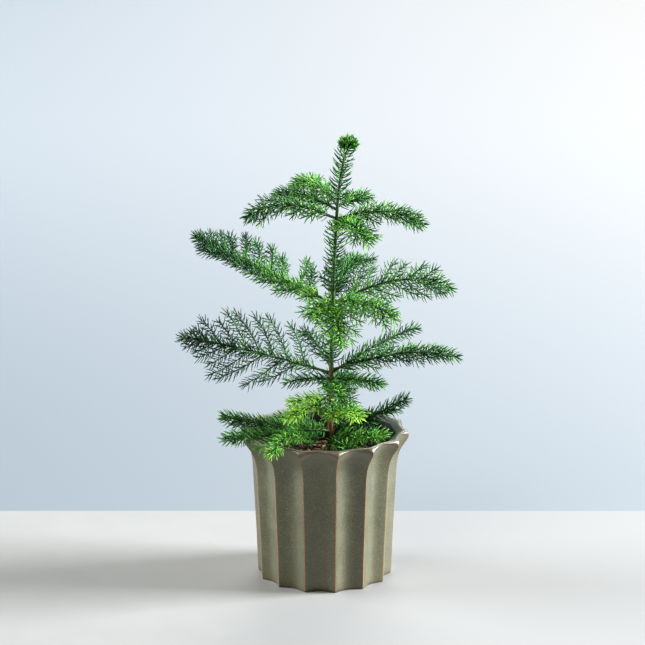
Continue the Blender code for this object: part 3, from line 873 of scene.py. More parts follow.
@dataclass
class Soil:
    """The potting bark: a lumpy bed with loose chips on it.

    Each layer of its lumps has how fine it is, its place in the noise and its share.
    """

    top: float = 121.5 * MM
    depth: float = 6.0 * MM
    wall_room: float = 0.8 * MM
    edge_drop: float = 2.0 * MM
    edge_power: int = 6
    lumps: float = 1.6 * MM
    lump_layers: tuple[tuple[float, float, float], ...] = ((70.0, 0.0, 0.6), (260.0, 3.0, 0.5))
    rings: int = 40
    sides: int = 96
    chips: int = 520
    chip_length: Span = (4.0 * MM, 11.0 * MM)
    chip_width: Span = (0.35, 0.75)
    chip_thickness: Span = (0.14, 0.30)
    chip_rise: Span = (0.2, 1.4)
    chip_rings: tuple[Span, ...] = ((-0.5, 0.86), (-0.2, 1.0), (0.25, 0.98), (0.5, 0.82))
    chip_corners: int = 6
    chip_corner_sway: float = 0.25
    chip_corner_reach: Span = (0.8, 1.1)
    chip_uneven: float = 0.08
    chip_domes: Span = (0.8, 1.2)
    chip_reach: float = 0.62
    chip_tilt: float = 0.28
    chip_pitch: float = 0.22
    chip_weights: tuple[int, int, int] = (5, 4, 2)
    chip_sharp_from: float = math.radians(35.0)
    stem_room: float = 6.0 * MM
    seed: int = 11

    def lump(self, x: float, y: float) -> float:
        """How high the bed stands above its level at a place."""
        return self.lumps * sum(share * noise.noise(Vector((x, y, place)) * scale)
                                for scale, place, share in self.lump_layers)

    def build(self, pot: Pot, stem: Vector) -> None:
        """Add the bed and its chips to the scene.

        Args:
            pot: the pot that they lie in.
            stem: where the trunk stands.
        """
        base = self.top - self.depth
        edge, foot = (float(pot.inner_radius(height)) - self.wall_room for height in (self.top, base))
        spokes = [(math.sin(math.tau * side / self.sides), -math.cos(math.tau * side / self.sides))
                  for side in range(self.sides)]
        points = []
        for ring in range(1, self.rings + 1):
            share = ring / self.rings
            for spoke in spokes:
                x, y = (edge * share * part for part in spoke)
                points.append((x, y, self.top - self.edge_drop * share ** self.edge_power + self.lump(x, y)))
        points += [(foot * x, foot * y, base) for x, y in spokes]
        points += [(0.0, 0.0, self.top + self.lump(0.0, 0.0)), (0.0, 0.0, base)]
        bed = Shape()
        bed.add(np.array(points), *(faces[:, ::-1] for faces in closed_faces(self.rings + 1, self.sides)))
        add_piece(bed.mesh("potting_bark_bed"), (POTTING_BARK,), ["soil"])
        self.scatter(edge, stem)

    def scatter(self, edge: float, stem: Vector) -> None:
        """Lay the loose chips on the bed.

        Args:
            edge: how far out the bed reaches.
            stem: where the trunk stands, which the chips keep off.
        """
        draw = random.Random(self.seed)
        heaps = [Shape() for _ in CHIP_FINISHES]
        faces = closed_faces(len(self.chip_rings), self.chip_corners)
        for _ in range(self.chips):
            length = draw.uniform(*self.chip_length)
            out = (edge - length * self.chip_reach) * math.sqrt(draw.random())
            bearing = draw.uniform(0.0, math.tau)
            x, y = out * math.sin(bearing), -out * math.cos(bearing)
            if math.hypot(x - stem.x, y - stem.y) < self.stem_room:
                continue
            place = Vector((x, y, self.top + self.lump(x, y) + draw.uniform(*self.chip_rise) * MM))
            turn = (Matrix.Rotation(draw.uniform(0.0, math.tau), 3, "Z")
                    @ Matrix.Rotation(draw.gauss(0.0, self.chip_tilt), 3, "X")
                    @ Matrix.Rotation(draw.gauss(0.0, self.chip_pitch), 3, "Y"))
            heap = draw.choices(heaps, weights=self.chip_weights)[0]
            heap.add(self.chip(draw, length, place, turn), *faces)
        for finish, heap in zip(CHIP_FINISHES, heaps):
            mesh = heap.mesh(f"bark_chips_{finish.name.split('_')[1]}")
            mesh.set_sharp_from_angle(angle=self.chip_sharp_from)
            add_piece(mesh, (finish,), ["soil"])

    def chip(self, draw: random.Random, length: float, place: Vector, turn: Matrix) -> np.ndarray:
        """One chip: an uneven slab with worn edges.

        Args:
            draw: the random draws.
            length: its longest side.
            place: its middle.
            turn: how it lies.

        Returns:
            Its points: its rings, then one below and one above them.
        """
        width = length * draw.uniform(*self.chip_width)
        thick = length * draw.uniform(*self.chip_thickness)
        outline = []
        for corner in range(self.chip_corners):
            sway = draw.uniform(-self.chip_corner_sway, self.chip_corner_sway)
            angle = math.tau * (corner + sway) / self.chip_corners
            reach = 0.5 * draw.uniform(*self.chip_corner_reach)
            outline.append(Vector((length * reach * math.cos(angle), width * reach * math.sin(angle), 0.0)))
        points = [point * size + UP * thick * (up + draw.uniform(-self.chip_uneven, self.chip_uneven))
                  for up, size in self.chip_rings for point in outline]
        points += [UP * -0.5 * thick, UP * 0.5 * thick * draw.uniform(*self.chip_domes)]
        return np.array([place + turn @ point for point in points])


@dataclass
class Line:
    """A stem's middle line, with a direction across it that doesn't twist."""

    points: np.ndarray

    upright = 0.9

    def __post_init__(self) -> None:
        """Work out the line's directions and how far along each point is."""
        steps = np.diff(self.points, axis=0)
        self.along = unit(np.vstack([steps[:1], steps[:-1] + steps[1:], steps[-1:]]))
        upright = abs(self.along[0, 2]) >= self.upright
        seed = np.array([1.0, 0.0, 0.0] if upright else [0.0, 0.0, 1.0])
        across = []
        for direction in self.along:
            seed = seed - direction * (seed @ direction)
            seed = seed / np.linalg.norm(seed)
            across.append(seed)
        self.across = np.array(across)
        self.places = np.concatenate([[0.0], np.cumsum(np.linalg.norm(steps, axis=1))])

    @property
    def length(self) -> float:
        """How long the line is."""
        return float(self.places[-1])

    def read(self, rows: np.ndarray, at: np.ndarray) -> np.ndarray:
        """Values of the line's points, one row each, read at distances along the line."""
        return np.stack([np.interp(at, self.places, rows[:, axis]) for axis in range(3)], axis=-1)

    def tube(self, radii: np.ndarray, sides: int, tip: float) -> tuple[np.ndarray, np.ndarray, np.ndarray]:
        """A round limb along the line.

        Args:
            radii: its radius at each of the line's points.
            sides: how many sides it has.
            tip: how far its pointed end stands beyond the line.

        Returns:
            Its points, its four-sided faces and its three-sided faces.
        """
        third = np.cross(self.along, self.across)
        angles = (math.tau * np.arange(sides) / sides)[None, :, None]
        spokes = self.across[:, None] * np.cos(angles) + third[:, None] * np.sin(angles)
        rings = self.points[:, None] + spokes * radii[:, None, None]
        ends = [self.points[0], self.points[-1] + self.along[-1] * tip]
        return np.concatenate([rings.reshape(-1, 3), ends]), *closed_faces(len(self.points), sides)


@dataclass
class Trunk:
    """The trunk, from its flare at the soil to the nodding bud, with its bark's relief."""

    foot: float = 121.8 * MM
    top: float = 431.0 * MM
    foot_x: float = 5.9 * MM
    lean: float = 8.4 * MM
    nod: float = 6.4 * MM
    nod_power: int = 10
    radius: float = 2.9 * MM
    tip_radius: float = 1.2 * MM
    flare: float = 1.5 * MM
    flare_height: float = 9.0 * MM
    sides: int = 24
    rings: int = 300
    cushion: float = 0.16 * MM
    cushions_around: tuple[int, int] = (5, 8)
    cushion_rise: float = 3.4 * MM
    cushions_left: float = 0.4
    flake: float = 0.30 * MM
    flake_bend: float = 2.0
    flake_size: float = 2.2 * MM
    flaky_below: float = 205.0 * MM
    flaky_fade: float = 25.0 * MM
    young_flakes: float = 0.25

    def share(self, height: float) -> float:
        """How far up the trunk a height is, from 0 to 1."""
        return (height - self.foot) / (self.top - self.foot)

    def point(self, height: float) -> Vector:
        """The middle of the trunk.

        Args:
            height: the height of the place.

        Returns:
            The point.
        """
        share = self.share(height)
        lean = self.lean * share ** 2 + self.nod * share ** self.nod_power
        return Vector((self.foot_x + lean, 0.0, height))

    def thickness(self, height: float) -> float:
        """The trunk's radius at a height."""
        flare = self.flare * math.exp(-(height - self.foot) / self.flare_height)
        return between(self.radius, self.tip_radius, self.share(height)) + flare

    def relief(self, angle: float, height: float) -> float:
        """How far the bark stands out: leaf cushions in crossing spirals, and flakes low down.

        Args:
            angle: the bearing round the trunk.
            height: the height of the place.

        Returns:
            The distance, which may be below zero.
        """
        left, right = self.cushions_around
        turn = height / self.cushion_rise
        cushions = math.cos(left * angle + turn * left / 2) * math.cos(right * angle - turn * right / 3)
        around = Vector((math.cos(angle), math.sin(angle), 0.0)) * self.flake_bend
        flakes = noise.noise(around + UP * (height / self.flake_size))
        old = min(1.0, max(0.0, (self.flaky_below - height) / self.flaky_fade))
        return (self.cushion * cushions * between(1.0, self.cushions_left, old)
                + self.flake * flakes * between(self.young_flakes, 1.0, old))

    def build(self) -> None:
        """Add the trunk to the scene."""
        points = []
        for ring in range(self.rings):
            height = self.foot + (self.top - self.foot) * ring / (self.rings - 1)
            centre, radius = self.point(height), self.thickness(height)
            for side in range(self.sides):
                angle = math.tau * side / self.sides
                out = radius + self.relief(angle, height)
                points.append((centre.x + out * math.cos(angle), out * math.sin(angle), height))
        points += [tuple(self.point(self.foot)), tuple(self.point(self.top) + UP * MM)]
        shape = Shape()
        shape.add(np.array(points), *closed_faces(self.rings, self.sides))
        add_piece(shape.mesh("trunk_bark"), (TRUNK_BARK,), ["trunk"])


# Each ring of a needle: how far out it lies, and its thickness. The tip is one more point.
NEEDLE_RINGS = ((0.0, 0.80), (0.40, 1.0), (0.80, 0.78))
NEEDLE_SIDES = 3
NEEDLE_TURN = 0.25
NEEDLE_POINTS = len(NEEDLE_RINGS) * NEEDLE_SIDES + 1


@dataclass(frozen=True)
class Needles:
    """How the needles stand on one kind of stem.

    They follow one spiral. Each springs out at the spread angle and curves forward, and towards the
    tip they are shorter and lean further forward.
    """

    per_metre: float
    length: float
    spread: float = math.radians(70.0)
    chord: float = math.radians(50.0)
    tip_chord: float = math.radians(26.0)
    thick: float = 0.66 * MM

    fewest = 3
    tip_reach = 7.0 * MM
    tip_length = 0.72
    tip_spread = 0.4
    flatness = 0.8
    sink = 0.3 * MM
    place_jitter = 0.3
    turn_jitter = 0.16
    chord_jitter = 0.09
    lengths = (0.86, 1.10)

    def grow(self, line: Line, radius: float, draw: np.random.Generator,
             pointed: bool = True) -> tuple[np.ndarray, np.ndarray]:
        """Needles all along a line.

        Args:
            line: the stem's middle line.
            radius: the stem's radius.
            draw: the random draws.
            pointed: whether the line ends in a growing tip.

        Returns:
            The needles' points, as needle by point by axis, and how far along each needle stands.
        """
        count = max(self.fewest, round(line.length * self.per_metre))
        places = np.arange(count) + draw.uniform(-self.place_jitter, self.place_jitter, count) + 0.5
        at = np.clip(places / count * line.length, 0.0, line.length)
        along = unit(line.read(line.along, at))
        across = line.read(line.across, at)
        across = unit(across - along * np.sum(across * along, axis=1, keepdims=True))
        turn = (np.arange(count) * GOLDEN_ANGLE + draw.uniform(0.0, math.tau)
                + draw.normal(0.0, self.turn_jitter, count))[:, None]
        out = across * np.cos(turn) + np.cross(along, across) * np.sin(turn)
        to_tip = np.clip((line.length - at) / self.tip_reach, 0.0, 1.0) if pointed else np.ones(count)
        to_tip = to_tip[:, None]
        chord = between(self.tip_chord, self.chord, to_tip) + draw.normal(0.0, self.chord_jitter, (count, 1))
        spread = chord + (self.spread - self.chord) * between(self.tip_spread, 1.0, to_tip)
        grown = draw.uniform(*self.lengths, (count, 1))
        length = self.length * between(self.tip_length, 1.0, to_tip) * grown
        foot = line.read(line.points, at) + out * (radius - self.sink)
        middle = foot + 0.5 * length * (along * np.cos(spread) + out * np.sin(spread))
        tip = foot + length * (along * np.cos(chord) + out * np.sin(chord))
        flat = unit(np.cross(along, out))
        points = np.empty((count, NEEDLE_POINTS, 3))
        for ring, (share, size) in enumerate(NEEDLE_RINGS):
            centre = (1 - share) ** 2 * foot + 2 * share * (1 - share) * middle + share ** 2 * tip
            heading = unit((1 - share) * (middle - foot) + share * (tip - middle))
            raised = np.cross(heading, flat) * self.flatness
            for corner in range(NEEDLE_SIDES):
                angle = math.tau * (corner + NEEDLE_TURN) / NEEDLE_SIDES
                spoke = flat * math.cos(angle) + raised * math.sin(angle)
                points[:, ring * NEEDLE_SIDES + corner] = centre + spoke * self.thick * size
        points[:, -1] = tip
        return points, at / line.length

    @staticmethod
    def faces(count: int) -> Faces:
        """The faces of a number of needles whose points follow each other.

        Args:
            count: how many needles there are.

        Returns:
            The four-sided faces and the three-sided faces.
        """
        quads = ring_quads(len(NEEDLE_RINGS), NEEDLE_SIDES)
        tip = NEEDLE_POINTS - 1
        last = tip - NEEDLE_SIDES
        triangles = np.array([(2, 1, 0)] + [(last + corner, last + (corner + 1) % NEEDLE_SIDES, tip)
                                            for corner in range(NEEDLE_SIDES)])
        starts = (np.arange(count) * NEEDLE_POINTS)[:, None, None]
        return (quads[None] + starts).reshape(-1, 4), (triangles[None] + starts).reshape(-1, 3)


class Twig(NamedTuple):
    """A side twig's place on its stem: how far out, on which side, how long, at what angle."""

    out: float
    side: int
    length: float
    angle: float
    lift: float


@dataclass(frozen=True)
class Bough:
    """One bough and its spray, measured from the trunk.

    bearing is in degrees, 0 to the front and 90 to +X. reach is the level distance to the needle tips
    in millimetres. lift is how far it leaves the trunk above its whorl. climb is its slope at the
    trunk, sag what it has lost at its tip. roll turns the spray about its stem, in degrees, and fold
    turns its two sides towards each other. twig is its longest side twig, and skew makes the twigs of
    one side longer and of the other shorter. first is how far out its first twigs stand, and angle is
    the angle at which its twigs leave the stem, in degrees. With a smaller tip_width its twigs shorten
    sooner towards the tip. tones are the greens of its needles at its root and at its tip, as places
    in the row of tones. fullness is how many needles it has, against the usual number.
    """

    bearing: float
    reach: float
    lift: float
    climb: float
    sag: float
    roll: float
    twig: float
    tones: Span
    skew: float = 0.0
    fold: float = 0.0
    first: float = 12.0
    angle: float = 60.0
    tip_width: float = 2.6
    fullness: float = 1.0

    tip_length = 6.0 * MM
    stem_step = 5.0 * MM
    fewest_steps = 6
    root_depth = 0.6
    twig_step = 13.5 * MM
    step_at_root = 1.25
    step_loss = 0.45
    step_left = 0.4
    out_jitter = 0.2
    side_lag = 0.25
    width_at_root = 0.66
    widening = 1.2
    narrowing = 0.85
    twig_lengths = (0.86, 1.1)
    angle_at_root = 1.12
    angle_loss = 0.42
    twig_angles = (0.9, 1.1)
    lift_jitter = 0.12
    twig_curl = 0.35
    twig_rise = 0.10
    row_length = 11.0 * MM

    def point(self, trunk: Trunk, level: float, out: float) -> Vector:
        """A point of the bough's middle line.

        Args:
            trunk: the trunk that it grows from.
            level: its whorl's height.
            out: the level distance from the trunk's middle.

        Returns:
            The point.
        """
        bearing = math.radians(self.bearing)
        share = out / (self.reach * MM)
        rise = self.reach * MM * (self.climb * share - self.sag * share ** 3)
        start = trunk.point(level + self.lift * MM)
        return start + Vector((out * math.sin(bearing), -out * math.cos(bearing), rise))

    def stem(self, trunk: Trunk, level: float) -> Line:
        """The bough's middle line from inside the trunk's bark to the last needles.

        Args:
            trunk: the trunk that it grows from.
            level: its whorl's height.

        Returns:
            The line.
        """
        start = trunk.thickness(level) * self.root_depth
        end = self.reach * MM - self.tip_length
        steps = max(self.fewest_steps, round((end - start) / self.stem_step))
        return Line(np.array([self.point(trunk, level, out) for out in np.linspace(start, end, steps + 1)]))

    def twigs(self, level: float) -> Iterator[Twig]:
        """The side twigs, in pairs along the stem.

        They are longest a third of the way out and shorter towards the tip.

        Args:
            level: the whorl's height.

        Yields:
            Each twig's place.
        """
        draw = random.Random(f"{level} {self.bearing}")
        reach = self.reach * MM
        foot = self.first * MM
        while foot < reach - self.tip_length - self.step_left * self.twig_step:
            step = self.twig_step * (self.step_at_root - self.step_loss * foot / reach)
            for side in (-1, 1):
                jitter = draw.uniform(-self.out_jitter, self.out_jitter)
                out = foot + step * (jitter + self.side_lag * (side + 1))
                share = out / reach
                envelope = (min(1.0, self.width_at_root + self.widening * share)
                            * min(1.0, self.tip_width * (1.0 - share) ** self.narrowing))
                length = self.twig * MM * envelope * (1.0 + self.skew * side)
                length *= draw.uniform(*self.twig_lengths)
                angle = (math.radians(self.angle) * (self.angle_at_root - self.angle_loss * share)
                         * draw.uniform(*self.twig_angles))
                yield Twig(out, side, length, angle, draw.uniform(-self.lift_jitter, self.lift_jitter))
            foot += step

    def twig_line(self, trunk: Trunk, level: float, twig: Twig) -> Line:
        """The middle line of a side twig, which leaves the stem at an angle and curls forward.

        Args:
            trunk: the trunk that the bough grows from.
            level: the whorl's height.
            twig: the twig's place.

        Returns:
            The line.
        """
        foot = self.point(trunk, level, twig.out)
        along = (self.point(trunk, level, twig.out + MM) - foot).normalized()
        sideways = along.cross(UP).normalized()
        turn = math.radians(self.roll + self.fold * twig.side)
        across = Matrix.Rotation(turn, 3, along) @ (-sideways * twig.side)
        normal = across.cross(along) * twig.side
        rows = max(2, round(twig.length / self.row_length)) * 2
        path = [foot]
        for row in range(1, rows + 1):
            heading = twig.angle * (1.0 - self.twig_curl * row / rows)
            step = (along * math.cos(heading) + across * math.sin(heading)
                    + normal * (self.twig_rise + twig.lift))
            path.append(path[-1] + step.normalized() * (twig.length - self.tip_length) / rows)
        return Line(np.array(path))


@dataclass(frozen=True)
class Whorl:
    """Boughs that leave the trunk at one height, given in millimetres."""

    name: str
    level: float
    boughs: tuple[Bough, ...]

    def nodes(self, kind: str) -> list[str]:
        """The names of this whorl's solids of one kind, such as spray or bough."""
        return sorted(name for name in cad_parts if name.startswith(f"{kind}_{self.name}_"))


# The tones of each bough are partly painted light and shade: lower on sprays in shade or against the light,
# higher where light falls on them.
WHORLS = (
    Whorl("top", 368.5, (
        Bough(-150, 90, 8, 0.44, 0.45, 0, 23, (2.6, 2.1)),
        Bough(-126, 80, 4, 0.32, 0.30, 0, 25, (1.9, 1.6)),
        Bough(-76, 96, -5, 0.46, 0.46, -15, 30, (2.4, 1.3)),
        Bough(24, 80, -7, 0.20, 0.35, 0, 27, (2.6, 2.2)),
        Bough(84, 91, -5, 0.28, 0.38, 15, 30, (2.6, 1.8)),
        Bough(145, 56, 7, 0.20, 0.22, 0, 22, (2.2, 1.9)),
    )),
    Whorl("upper", 278.5, (
        Bough(-118, 161, 0, 0.30, -0.02, -2, 47, (3.1, 0.8), -0.12, 16, 9, 80, fullness=1.45),
        Bough(-30, 52, 0, 0.18, 0.34, 0, 26, (2.9, 2.5)),
        Bough(5, 86, -2, 0.12, 0.40, 0, 34, (2.9, 2.6)),
        Bough(44, 93, 2, 0.20, 0.26, 10, 31, (2.6, 2.4), -0.25),
        Bough(110, 132, 0, 0.35, 0.36, 38, 34, (2.2, 1.8), 0.0, 4),
        Bough(165, 104, 4, 0.42, 0.28, 0, 34, (1.6, 1.5)),
    )),
    Whorl("middle", 204.0, (
        Bough(-158, 82, 8, 0.42, 0.20, 0, 18, (1.2, 0.7), fullness=0.6),
        Bough(-108, 164, 3, 0.20, 0.06, -42, 60, (2.2, 0.6), -0.10, 0, 30, 60, 1.8),
        Bough(-80, 51, -3, 0.10, 0.18, 0, 10, (1.6, 1.4)),
        Bough(12, 58, -4, 0.02, 0.22, 0, 28, (2.2, 2.2)),
        Bough(60, 64, -2, 0.10, 0.09, 0, 16, (2.0, 1.7)),
        Bough(96, 132, 6, 0.28, 0.225, 14, 26, (2.2, 1.6)),
        Bough(127, 114, 3, 0.37, 0.12, 0, 8, (1.3, 1.1)),
    )),
    Whorl("lower", 177.0, (
        Bough(-84, 44, 3, 0.04, 0.14, 0, 20, (3.1, 4.0)),
        Bough(-46, 66, 0, 0.06, 0.17, 0, 20, (3.4, 4.4)),
        Bough(5, 40, -2, 0.02, 0.15, 0, 18, (3.4, 3.8)),
        Bough(32, 56, 0, 0.02, 0.09, 0, 21, (3.2, 3.9)),
        Bough(170, 76, 0, 0.30, 0.24, 0, 30, (1.4, 1.0)),
    )),
    Whorl("low", 141.0, (
        Bough(-125, 70, 0, 0.22, 0.10, 0, 24, (1.8, 1.6)),
        Bough(-89, 113, 5, 0.12, -0.04, 0, 30, (2.0, 1.8)),
        Bough(-65, 121, -2, 0.20, 0.08, 0, 29, (2.5, 2.0)),
        Bough(-37, 104, 6, 0.33, 0.37, 0, 32, (1.8, 3.2), -0.15, -14, 44),
        Bough(22, 57, -2, 0.10, 0.02, 0, 24, (2.3, 2.3)),
        Bough(64, 63, 0, 0.20, 0.05, 0, 26, (2.3, 2.8)),
        Bough(100, 83, 2, 0.40, -0.04, 0, 24, (1.4, 1.2)),
        Bough(165, 72, 0, 0.26, 0.10, 0, 28, (1.0, 0.8)),
    )),
)


@dataclass
class Foliage:
    """The needles of one part of the crown, sorted by tone, with the stems that carry them."""

    pot: Pot
    beds: dict[Tone, list[np.ndarray]] = field(default_factory=lambda: {tone: [] for tone in TONES})
    needle_room: float = 0.4 * MM
    tone_scatter: float = 0.62

    def clothe(self, line: Line, radius: float, needles: Needles, tones: Span, draw: np.random.Generator,
               pointed: bool = True) -> None:
        """Grow needles on a stem, and leave out those that would enter the pot or the soil.

        Args:
            line: the stem's middle line.
            radius: its radius.
            needles: how its needles stand.
            tones: the greens at its foot and at its tip.
            draw: the random draws.
            pointed: whether it ends in a growing tip.
        """
        points, share = needles.grow(line, radius, draw, pointed)
        clear = ~self.pot.blocks(points, self.needle_room).any(axis=1)
        level = between(*tones, share) + draw.normal(0.0, self.tone_scatter, len(share))
        number = np.clip(np.round(level), 0, len(TONES) - 1)
        for place, tone in enumerate(TONES):
            self.beds[tone].append(points[clear & (number == place)])

    def build(self, name: str, nodes: list[str]) -> None:
        """Add one piece for each tone to the scene.

        Args:
            name: the part of the crown.
            nodes: the solids that the needles stand for.
        """
        for tone, beds in self.beds.items():
            points = np.concatenate(beds)
            if not len(points):
                continue
            shape = Shape()
            shape.add(points.reshape(-1, 3), *Needles.faces(len(points)))
            add_piece(shape.mesh(f"needles_{name}_{tone.label}"), (needle_finish(tone),), nodes)


@dataclass
class Crown:
    """Every bough, twig and needle of the plant."""

    trunk: Trunk
    pot: Pot
    bough_radius: float = 1.5 * MM
    bough_tip_radius: float = 0.6 * MM
    bough_taper: float = 0.7
    bough_sides: int = 7
    bough_end: float = 2.0 * MM
    bough_swell: float = 1.3
    bare_share: float = 0.09
    bare_from: float = 75.0
    bare_least: float = 3.0 * MM
    twig_radius: float = 0.62 * MM
    twig_tip_radius: float = 0.34 * MM
    twig_sides: int = 5
    twig_end: float = 1.5 * MM
    shortest_twig: float = 9.0 * MM
    twig_room: float = 1.0 * MM
    tone_mean: float = -0.3
    tone_jitter: float = 0.3
    stem_needles: Needles = Needles(1650.0, 11.5 * MM, thick=0.68 * MM)
    twig_needles: Needles = Needles(1100.0, 10.8 * MM, thick=0.59 * MM)
    trunk_needles: Needles = Needles(1600.0, 13.0 * MM, spread=math.radians(78.0), chord=math.radians(56.0),
                                     thick=0.85 * MM)
    bud_needles: Needles = Needles(4600.0, 11.5 * MM, tip_chord=math.radians(24.0), thick=0.9 * MM)
    trunk_bands: tuple[tuple[str, float, float], ...] = (
        ("needles_on_trunk_low", 218.0, 268.0),
        ("needles_on_trunk_middle", 290.0, 358.0),
        ("needles_on_leader", 382.0, 429.0),
    )
    band_points: int = 12
    band_tones: Span = (0.9, 1.5)
    leader_seed: int = 7
    bud_shoots: int = 6
    bud_step: float = 5.2 * MM
    bud_nod: float = 0.42
    bud_tones: Span = (1.6, 2.0)
    shoot_rises: Span = (0.45, 0.85)
    shoot_radii: Span = (0.7 * MM, 0.4 * MM)
    shoot_bark: float = 0.5 * MM
    shoot_end: float = 1.0 * MM
    shoot_tones: Span = (1.6, 2.2)

    def build(self) -> None:
        """Add every whorl, then the needles of the trunk and the leader's bud."""
        for whorl in WHORLS:
            self.grow_whorl(whorl)
        draw = np.random.default_rng(self.leader_seed)
        self.grow_trunk_needles(draw)
        self.grow_bud(draw)

    def grow_whorl(self, whorl: Whorl) -> None:
        """Add one whorl's boughs, twigs and needles.

        Args:
            whorl: the whorl.
        """
        limbs, shoots = Shape(), Shape()
        foliage = Foliage(self.pot)
        for number, bough in enumerate(whorl.boughs):
            draw = np.random.default_rng([int(whorl.level), number])
            limbs.add(*self.grow_limb(bough, whorl.level * MM, foliage, draw))
            self.grow_twigs(bough, whorl.level * MM, foliage, draw, shoots)
        stems, sprays = whorl.nodes("bough"), whorl.nodes("spray")
        add_piece(limbs.mesh(f"boughs_{whorl.name}"), (TWIG_SKIN,), stems + sprays)
        add_piece(shoots.mesh(f"twigs_{whorl.name}"), (TWIG_SKIN,), sprays)
        foliage.build(whorl.name, sprays)

    def grow_limb(self, bough: Bough, level: float, foliage: Foliage,
                  draw: np.random.Generator) -> tuple[np.ndarray, np.ndarray, np.ndarray]:
        """Grow one bough's stem and the needles on it.

        Args:
            bough: the bough.
            level: its whorl's height.
            foliage: what takes its needles.
            draw: the random draws.

        Returns:
            The stem's points, its four-sided faces and its three-sided faces.
        """
        stem = bough.stem(self.trunk, level)
        share = stem.places / stem.length
        bare = self.bare_share * bough.reach * MM if bough.reach >= self.bare_from else self.bare_least
        places = np.linspace(bare / stem.length, 1.0, len(share)) * stem.length
        foliage.clothe(Line(stem.read(stem.points, places)), self.bough_tip_radius * self.bough_swell,
                       self.filled(self.stem_needles, bough), bough.tones, draw)
        radii = between(self.bough_radius, self.bough_tip_radius, share ** self.bough_taper)
        return stem.tube(radii, self.bough_sides, self.bough_end)

    def grow_twigs(self, bough: Bough, level: float, foliage: Foliage, draw: np.random.Generator,
                   shoots: Shape) -> None:
        """Grow the side twigs of one bough and the needles on them.

        Args:
            bough: the bough.
            level: its whorl's height.
            foliage: what takes their needles.
            draw: the random draws.
            shoots: what takes the twigs.
        """
        reach = bough.reach * MM
        needles = self.filled(self.twig_needles, bough)
        for twig in bough.twigs(level):
            line = bough.twig_line(self.trunk, level, twig)
            jitter = draw.normal(self.tone_mean, self.tone_jitter)
            if twig.length < self.shortest_twig or self.pot.blocks(line.points, self.twig_room).any():
                continue
            along = twig.out / reach
            tones = tuple(between(*bough.tones, min(1.0, place)) + jitter
                          for place in (along, along + twig.length / reach))
            radii = np.linspace(self.twig_radius, self.twig_tip_radius, len(line.points))
            shoots.add(*line.tube(radii, self.twig_sides, self.twig_end))
            foliage.clothe(line, self.twig_tip_radius, needles, tones, draw)

    def filled(self, needles: Needles, bough: Bough) -> Needles:
        """Needles in the number that a bough's fullness asks for."""
        return replace(needles, per_metre=needles.per_metre * bough.fullness)

    def grow_trunk_needles(self, draw: np.random.Generator) -> None:
        """Add the needles that stand on the bare lengths of trunk.

        Args:
            draw: the random draws.
        """
        foliage = Foliage(self.pot)
        for _, low, high in self.trunk_bands:
            heights = np.linspace(low, high, self.band_points) * MM
            line = Line(np.array([self.trunk.point(height) for height in heights]))
            radius = self.trunk.thickness(float(heights.mean()))
            foliage.clothe(line, radius, self.trunk_needles, self.band_tones, draw, pointed=False)
        foliage.build("trunk", [name for name, _, _ in self.trunk_bands])

    def grow_bud(self, draw: np.random.Generator) -> None:
        """Add the nodding bud at the trunk's top.

        Args:
            draw: the random draws.
        """
        bud, shoots = Foliage(self.pot), Shape()
        foot = self.trunk.point(self.trunk.top)
        rise = Vector((self.bud_nod, 0.0, 1.0)).normalized() * self.bud_step
        stem = Line(np.array([foot + rise * step for step in range(3)]))
        radii = np.linspace(self.trunk.tip_radius, self.shoot_radii[0], 3)
        shoots.add(*stem.tube(radii, self.bough_sides, self.twig_end))
        bud.clothe(stem, self.trunk.tip_radius, self.bud_needles, self.bud_tones, draw)
        start = foot + rise
        for shoot in range(self.bud_shoots):
            turn = math.tau * shoot / self.bud_shoots
            spread = Vector((math.cos(turn), math.sin(turn), self.shoot_rises[shoot % 2])).normalized()
            line = Line(np.array([start, start + spread * self.bud_step]))
            shoots.add(*line.tube(np.array(self.shoot_radii), self.twig_sides, self.shoot_end))
            bud.clothe(line, self.shoot_bark, self.bud_needles, self.shoot_tones, draw)
        add_piece(shoots.mesh("leader_shoots"), (TWIG_SKIN,), ["leader_tuft"])
        bud.build("leader", ["leader_tuft"])


class Side(Enum):
    """Where a light stands, seen from the front."""

    RIGHT = 1.0
    LEFT = -1.0


@dataclass(frozen=True)
class Lamp:
    """A soft square light of one width and a power in watts, placed out towards its own side."""

    name: str
    side: Side
    place: tuple[float, float, float]
    size: float
    power: float
    colour: Colour
    target: tuple[float, float, float] = (0.0, 0.0, 0.2)

    def hang(self) -> None:
        """Add the light to the scene."""
        light = bpy.data.lights.new(self.name, "AREA")
        light.shape = "SQUARE"
        light.size = self.size
        light.energy = self.power
        light.color = self.colour
        lamp = bpy.data.objects.new(self.name, light)
        out, back, up = self.place
        lamp.location = (out * self.side.value, back, up)
        aim = Vector(self.target) - lamp.location
        lamp.rotation_euler = aim.to_track_quat("-Z", "Y").to_euler()
        bpy.context.scene.collection.objects.link(lamp)


LAMPS = (
    Lamp("key", Side.RIGHT, (4.4, 0.3, 1.5), 1.9, 640.0, (0.97, 1.0, 1.05)),
    Lamp("backdrop", Side.RIGHT, (0.6, 4.4, 3.0), 3.0, 150.0, (1.0, 1.0, 1.0), (0.4, 3.6, 0.0)),
    Lamp("fill", Side.LEFT, (4.3, 0.7, 1.3), 2.6, 275.0, (0.93, 0.97, 1.0)),
    Lamp("front", Side.LEFT, (2.2, -2.8, 3.6), 2.6, 78.0, (1.0, 0.96, 0.82)),
)


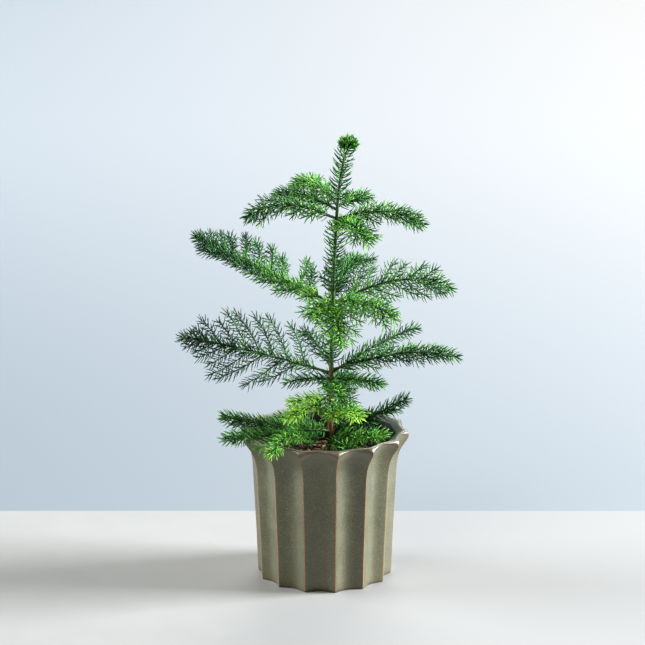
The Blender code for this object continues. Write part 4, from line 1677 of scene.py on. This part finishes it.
@dataclass
class Studio:
    """The pale floor, the soft lights and the camera."""

    target: Vector = field(default_factory=lambda: Vector((-2.07, 0.0, 258.6)) * MM)
    distance: float = 3.152
    pitch: float = math.radians(15.0)
    focal_share: float = 3200.0 / 645.0
    sensor: float = 36.0
    floor_size: float = 14.0
    sky_colour: Colour = (0.80, 0.88, 0.95)
    sky_strength: float = 0.08
    view: str = "Standard"
    look: str = "Medium High Contrast"

    def build(self) -> None:
        """Add the floor, the lights, the sky and the camera."""
        self.add_floor()
        for lamp in LAMPS:
            lamp.hang()
        self.add_sky()
        self.add_camera()
        settings = bpy.context.scene.view_settings
        settings.view_transform = self.view
        settings.look = self.look

    def add_floor(self) -> None:
        """Lay the pale floor."""
        half = self.floor_size / 2
        mesh = bpy.data.meshes.new("floor")
        corners = [(-half, -half, 0), (half, -half, 0), (half, half, 0), (-half, half, 0)]
        mesh.from_pydata(corners, [], [range(len(corners))])
        mesh.materials.append(FLOOR.material())
        floor = bpy.data.objects.new("floor", mesh)
        bpy.context.scene.collection.objects.link(floor)

    def add_sky(self) -> None:
        """Surround the scene with soft, pale light."""
        world = bpy.data.worlds.new("soft_sky")
        world.use_nodes = True
        sky = world.node_tree.nodes["Background"]
        sky.inputs["Color"].default_value = (*self.sky_colour, 1.0)
        sky.inputs["Strength"].default_value = self.sky_strength
        bpy.context.scene.world = world

    def add_camera(self) -> None:
        """Set the camera at the photograph's viewing angle."""
        data = bpy.data.cameras.new("camera")
        data.sensor_width = self.sensor
        data.lens = self.focal_share * self.sensor
        camera = bpy.data.objects.new("camera", data)
        back = Vector((0.0, -math.cos(self.pitch), math.sin(self.pitch)))
        camera.location = self.target + back * self.distance
        camera.rotation_euler = (math.pi / 2 - self.pitch, 0.0, 0.0)
        bpy.context.scene.collection.objects.link(camera)
        bpy.context.scene.camera = camera


def main() -> None:
    """Build the pot, its soil, the trunk, the crown and the studio, in that order."""
    logging.basicConfig(level=logging.INFO, format="%(message)s")
    pot = Pot()
    trunk = Trunk()
    pot.build()
    Soil().build(pot, trunk.point(trunk.foot))
    trunk.build()
    Crown(trunk, pot).build()
    Studio().build()


if __name__ == "__main__":
    main()
